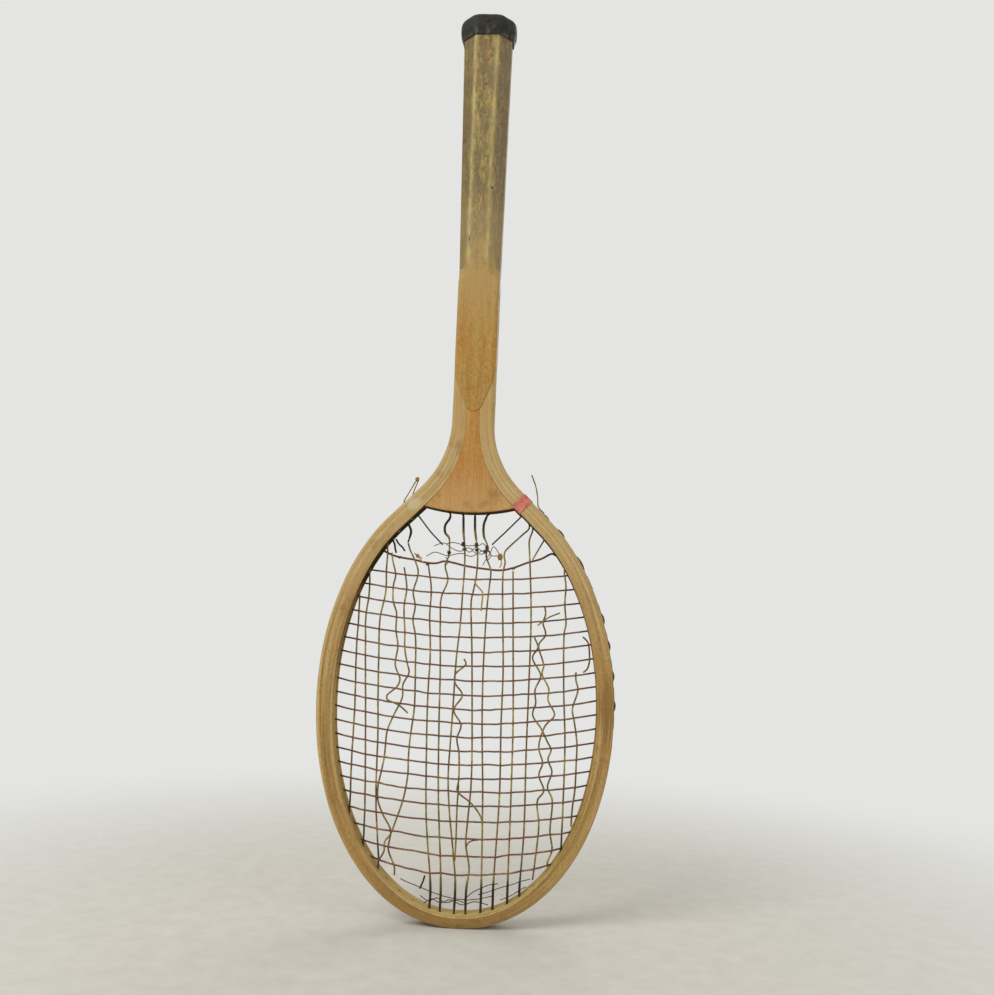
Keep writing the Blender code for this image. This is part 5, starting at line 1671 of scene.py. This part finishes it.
def make_loose_ends(materials):
    """The cut ends, each strand from the nearest place in the groove, and the left one's knot."""
    place = fan_place(4)
    groove = [RAIL.at(place + shift * MM, GROOVE_LOOP) for shift in np.linspace(-14, 14, 57)]
    for name, (radius, routes) in CUT_ENDS.items():
        side = -1 if "left" in name else 1
        skin = Skin()
        for route in routes:
            route = unwarped(route)
            first = Vector(route[0])
            out = min(groove, key=lambda spot: (Vector((side * spot[0], spot[1])) - first).length)
            line = curve([(side * out[0], out[1])] + route, THREAD_STEP)
            total = len(line)
            marks = [(0.0, 0.2 - 0.2 * i / total) for i in range(total)]
            sweep(skin, [(x, MAIN_PLANE, z) for x, z in line], radius * MM, 8, marks)
        string_piece("gut_" + name, skin, materials["gut"], "gut", name)
    skin = Skin()
    x, z = CUT_ENDS["loose_end_left"][1][0][-1]
    coil(skin, x * MM, z * MM, MAIN_PLANE, 0.0011, 0.0026, 0.0006, 2.6)
    string_piece("golden_knot_left", skin, materials["golden"], "gut")


TAPE_REACH = 0.0128
TAPE_CENTRE = 0.0090
TAPE_WIDTH = 0.0078
TAPE_FACES = (0.00012, 0.00060)
TAPE_STEPS = 16


def make_binding(material):
    """Tape over the front, the outside and the back of the right shoulder."""
    skin = Skin()
    foot = Vector((FILLET_FOOT[0], 0, FILLET_FOOT[1]))
    inward = Vector((-sin(SHOULDER_SLOPE), 0, -cos(SHOULDER_SLOPE)))
    down = Vector((cos(SHOULDER_SLOPE), 0, -sin(SHOULDER_SLOPE)))
    outline = []
    for lift in TAPE_FACES:
        curl = OUTER_BEVEL + lift
        line = [(TAPE_REACH * t, -HALF_DEPTH - lift) for t in (1.0, 0.75, 0.5, 0.3)]
        for turn in (0.0, 0.25, 0.5, 0.75, 1.0):
            angle = turn * pi / 2
            depth = OUTER_BEVEL - curl * sin(angle)
            line.append((depth, -HALF_DEPTH + OUTER_BEVEL - curl * cos(angle)))
        outline.append(line + [(-lift, 0.0)] + [(d, -y) for d, y in reversed(line)])
    under, over = outline
    rings = []
    for i in range(TAPE_STEPS + 1):
        t = i / TAPE_STEPS - 0.5
        centre = foot + down * (TAPE_CENTRE + TAPE_WIDTH * t)
        ring = []
        along = 0.0
        last = None
        for k, (depth, y) in enumerate(over + under[::-1]):
            spot = centre + inward * depth + Vector((0, y, 0))
            ragged = Vector()
            if i in (0, TAPE_STEPS):
                ragged = down * 0.25 * MM * wander(k, 0.9, i + 3)
            if last is not None:
                along += (spot - last).length
            last = spot
            ring.append(skin.vert(spot + ragged, (along, 0.008 * t), (y, 0.0)))
        rings.append(ring)
    skin.loft(rings)
    return finished("shoulder_tape", skin.shape, material, 50.0)


# Holes

def bore(shape, side, entry, out, plane, lead):
    """Adds one hole's cutter to a shape, from before its entry to beyond its outer end."""
    entry = Vector((side * entry[0], plane, entry[1]))
    out = Vector((side * out[0], plane, out[1]))
    skin = Skin()
    skin.shape.free()
    skin.shape = shape
    # One map under another name, so that a bore's wall brings no grain or wear of its own
    skin.grain = skin.face = shape.loops.layers.uv.verify()
    ends = (entry + Vector(lead) * 0.0035, entry, out + (out - entry).normalized() * 0.0035)
    sweep(skin, ends, HOLE_RADIUS, 12)


def hole_cutters():
    """Cutters for the holes: through the wood from the bed's edge to the groove."""
    groups = {"throat": bmesh.new(), "toe": bmesh.new(), "cross": bmesh.new()}
    for number in range(MAIN_COUNT):
        from_middle = number - MAIN_MIDDLE
        top_x = toe_x = from_middle * MAIN_PITCH
        rank = int(abs(from_middle))
        fan = rank if rank < FAN_COUNT else None
        if number in MAIN_ROUTES:
            route = unwarped(MAIN_ROUTES[number])
            toe_x = route[-1][0]
            if number not in OPEN_TOPS:
                top_x = route[0][0]
                fan = FANS.get(number)
        side, _, entry, out = main_hole(top_x, True, fan)
        bore(groups["throat"], side, entry, out, MAIN_PLANE, (0, 0, -1))
        side, _, entry, out = main_hole(toe_x, False)
        bore(groups["toe"], side, entry, out, MAIN_PLANE, (0, 0, 1))
    for z in [cross_z(number) for number in range(CROSS_COUNT)] + [THROAT_CROSS_Z]:
        _, entry, out = cross_hole(z)
        for side in (1, -1):
            bore(groups["cross"], side, entry, out, CROSS_PLANE, (-side, 0, 0))
    made = {}
    for kind, shape in groups.items():
        bmesh.ops.recalc_face_normals(shape, faces=shape.faces)
        mesh = bpy.data.meshes.new(kind)
        shape.to_mesh(mesh)
        shape.free()
        made[kind] = added(kind, mesh)
    return made


# Stage

BACKGROUND = (0.78, 0.785, 0.77, 1.0)


def seen_directly(tree):
    """1 for what the camera, or a mirror or glass, sees, and 0 for light that falls on things."""
    path = tree.nodes.new("ShaderNodeLightPath")
    total = path.outputs["Is Camera Ray"]
    for name in ("Is Glossy Ray", "Is Transmission Ray"):
        largest = tree.nodes.new("ShaderNodeMath")
        largest.operation = "MAXIMUM"
        tree.links.new(total, largest.inputs[0])
        tree.links.new(path.outputs[name], largest.inputs[1])
        total = largest.outputs[0]
    return total


def make_stage():
    """A pale floor that fades into the background away from the racket."""
    shape = bmesh.new()
    bmesh.ops.create_grid(shape, x_segments=24, y_segments=24, size=3.0)
    f = Finish("floor_paint", specular=0.2)
    place = f.object_place()
    speck = f.noise(place, 60.0, 5.0, 0.65)
    colour = f.ramp(speck, (0.3, 0.7), ((0.64, 0.61, 0.53, 1.0), (0.72, 0.69, 0.61, 1.0)))
    f.finish(colour, f.remap(speck, 0.3, 0.7, 0.75, 0.9), speck, 0.0003, 0.4)
    away = f.remap(f.vector("LENGTH", place), 0.16, 0.8)
    glow = f.node("ShaderNodeEmission")
    glow.inputs["Color"].default_value = BACKGROUND
    fade = f.node("ShaderNodeMixShader")
    share = f.times(away, seen_directly(f.tree))
    f.feed(fade.inputs, share, f.shader.outputs[0], glow.outputs[0])
    f.feed(f.tree.nodes["Material Output"].inputs, fade.outputs[0])
    finished("floor", shape, f.material)


# Lamps: name, place, size and power. All aim at the middle of the head.
LAMPS = (
    ("key", (-1.3, -1.5, 1.9), 1.3, 34.0),
    ("fill", (1.5, -1.6, 0.9), 1.6, 9.0),
    ("back", (0.6, 1.8, 1.6), 1.6, 14.0),
)
LAMP_AIM = Vector((0.0, 0.0, 0.30))


def make_light():
    """A soft even room, seen as the plain background, and three large lamps."""
    world = bpy.data.worlds.new("soft_room")
    bpy.context.scene.world = world
    world.use_nodes = True
    tree = world.node_tree
    tree.nodes.clear()
    output = tree.nodes.new("ShaderNodeOutputWorld")
    choose = tree.nodes.new("ShaderNodeMixShader")
    tree.links.new(seen_directly(tree), choose.inputs[0])
    for socket, colour, strength in ((1, (0.97, 0.98, 1.0, 1.0), 0.42), (2, BACKGROUND, 1.0)):
        shade = tree.nodes.new("ShaderNodeBackground")
        shade.inputs["Color"].default_value = colour
        shade.inputs["Strength"].default_value = strength
        tree.links.new(shade.outputs[0], choose.inputs[socket])
    tree.links.new(choose.outputs[0], output.inputs[0])
    for name, spot, size, power in LAMPS:
        lamp = bpy.data.lights.new(name, "AREA")
        lamp.shape = "SQUARE"
        lamp.size = size
        lamp.energy = power
        made = added(name, lamp)
        made.location = spot
        made.rotation_euler = (LAMP_AIM - Vector(spot)).to_track_quat("-Z", "Y").to_euler()
    bpy.context.scene.view_settings.view_transform = "Standard"


NICK = linear(34, 26, 14)
NICKS = (
    ((0.0, -0.0145, 0.6288), (0.0012, 0.004, 0.0008), NICK, 0.9),
    ((0.0075, -0.0143, 0.5443), (0.0016, 0.004, 0.0010), NICK, 0.9),
    ((-0.0083, -0.0141, 0.5030), (0.0005, 0.004, 0.0036), NICK, 0.8),
    ((0.0019, -0.0147, 0.6656), (0.0008, 0.004, 0.0008), NICK, 0.5),
)
ASH_SPOTS = (
    ((-0.0425, -0.0095, 0.2990), (0.0062, 0.0040, 0.0048), linear(206, 190, 152), 0.75),
    ((0.1028, -0.0095, 0.1550), (0.0056, 0.0140, 0.0240), linear(124, 96, 48), 0.55),
)
# Trends: the heights where they start and end, how strong they get, and their colour
ASH_TRENDS = (
    (0.17, 0.29, 0.42, linear(206, 182, 132)),
    (0.325, 0.37, 0.45, linear(180, 142, 80)),
    # The last two darken the toe towards the floor: painted shade, and at the very bottom a painted
    # contact shadow.
    (0.05, 0.0, 0.45, linear(122, 96, 50)),
    (0.0045, 0.0005, 0.45, linear(88, 68, 36)),
)
WEDGE_TRENDS = ((0.334, 0.298, 0.5, linear(204, 166, 112)),)
CHEEK_TRENDS = ((0.42, 0.478, 0.75, linear(180, 154, 98)),)
GUT_FINISHES = {
    "gut": ("gut_finish", GUT_TONES, linear(34, 27, 16)),
    "cross": ("cross_gut_finish", CROSS_TONES, linear(34, 27, 18)),
    "red": ("red_gut_finish", RED_TONES, linear(44, 26, 18)),
    "dark": ("dark_gut_finish", DARK_TONES, linear(22, 18, 12)),
    "brown": ("brown_gut_finish", BROWN_TONES, linear(40, 30, 18)),
    "golden": ("golden_gut_finish", GOLDEN_TONES, linear(96, 62, 24)),
}


def make_hoop_and_wedge():
    """The two drilled pieces of wood; their inner faces take copies of the finish without sheen,
    which stand in for the shade on them.
    """
    ash = wood("ash_finish", ASH_TONES, 1.25, 0.4, 420.0, 0.0, True, ASH_SPOTS, ASH_TRENDS)
    ash_inside = wood("ash_inside_finish", ASH_TONES, 1.0, 0.35, 420.0, 0.0, sheen=0.0)
    outer = wood("wedge_finish", WEDGE_TONES, 0.55, 0.5, 300.0, 3.0, trends=WEDGE_TRENDS)
    inner = wood("wedge_inside_finish", WEDGE_TONES, 0.55, 0.5, 300.0, 3.0, sheen=0.0)
    hoop = make_hoop(ash, ash_inside)
    wedge = make_wedge(outer, inner)
    cutters = hole_cutters()
    for cutter in cutters.values():
        drilled(hoop, cutter)
    drilled(wedge, cutters["throat"])
    for cutter in cutters.values():
        bpy.data.objects.remove(cutter, do_unlink=True)
    settled(hoop, "ash", "hoop")
    settled(wedge, "wedge_wood", "throat_wedge")


def make_handle():
    """The cheeks, the cap and its tacks, and a finish for the hidden core."""
    shaft = (SHAFT_TONES, 0.55, 0.7, 300.0)
    front = wood("front_cheek_finish", *shaft, 5.0, True, NICKS, CHEEK_TRENDS)
    back = wood("back_cheek_finish", *shaft, 8.0, True, trends=CHEEK_TRENDS)
    settled(make_cheek("front_cheek_piece", -1, front), "cheek_wood", "grip_front_cheek")
    settled(make_cheek("back_cheek_piece", 1, back), "cheek_wood", "grip_back_cheek")
    settled(make_cap(leather("cap_finish")), "cap_leather", "butt_cap")
    metal = tarnished("tack_finish")
    for where, turn in (("front", -pi / 2), ("back", pi / 2)):
        settled(make_tack(where, turn, metal), "tack_metal", "cap_tack_" + where)
    core = wood("core_finish", SHAFT_TONES, 0.8, 0.4, 300.0, 9.0)
    for slot in bpy.data.objects["handle_core"].material_slots:
        slot.material = core


def build():
    """Everything in the picture, in the order in which it is made."""
    make_light()
    make_stage()
    make_hoop_and_wedge()
    make_handle()
    materials = {key: gut(*finish) for key, finish in GUT_FINISHES.items()}
    for make in (
        make_mains, make_loose, make_crosses, make_throat_cross, make_knots, make_scraps,
        make_rail_loops, make_loose_ends,
    ):
        make(materials)
    settled(make_binding(cloth("tape_finish")), "tape", "shoulder_binding")


build()
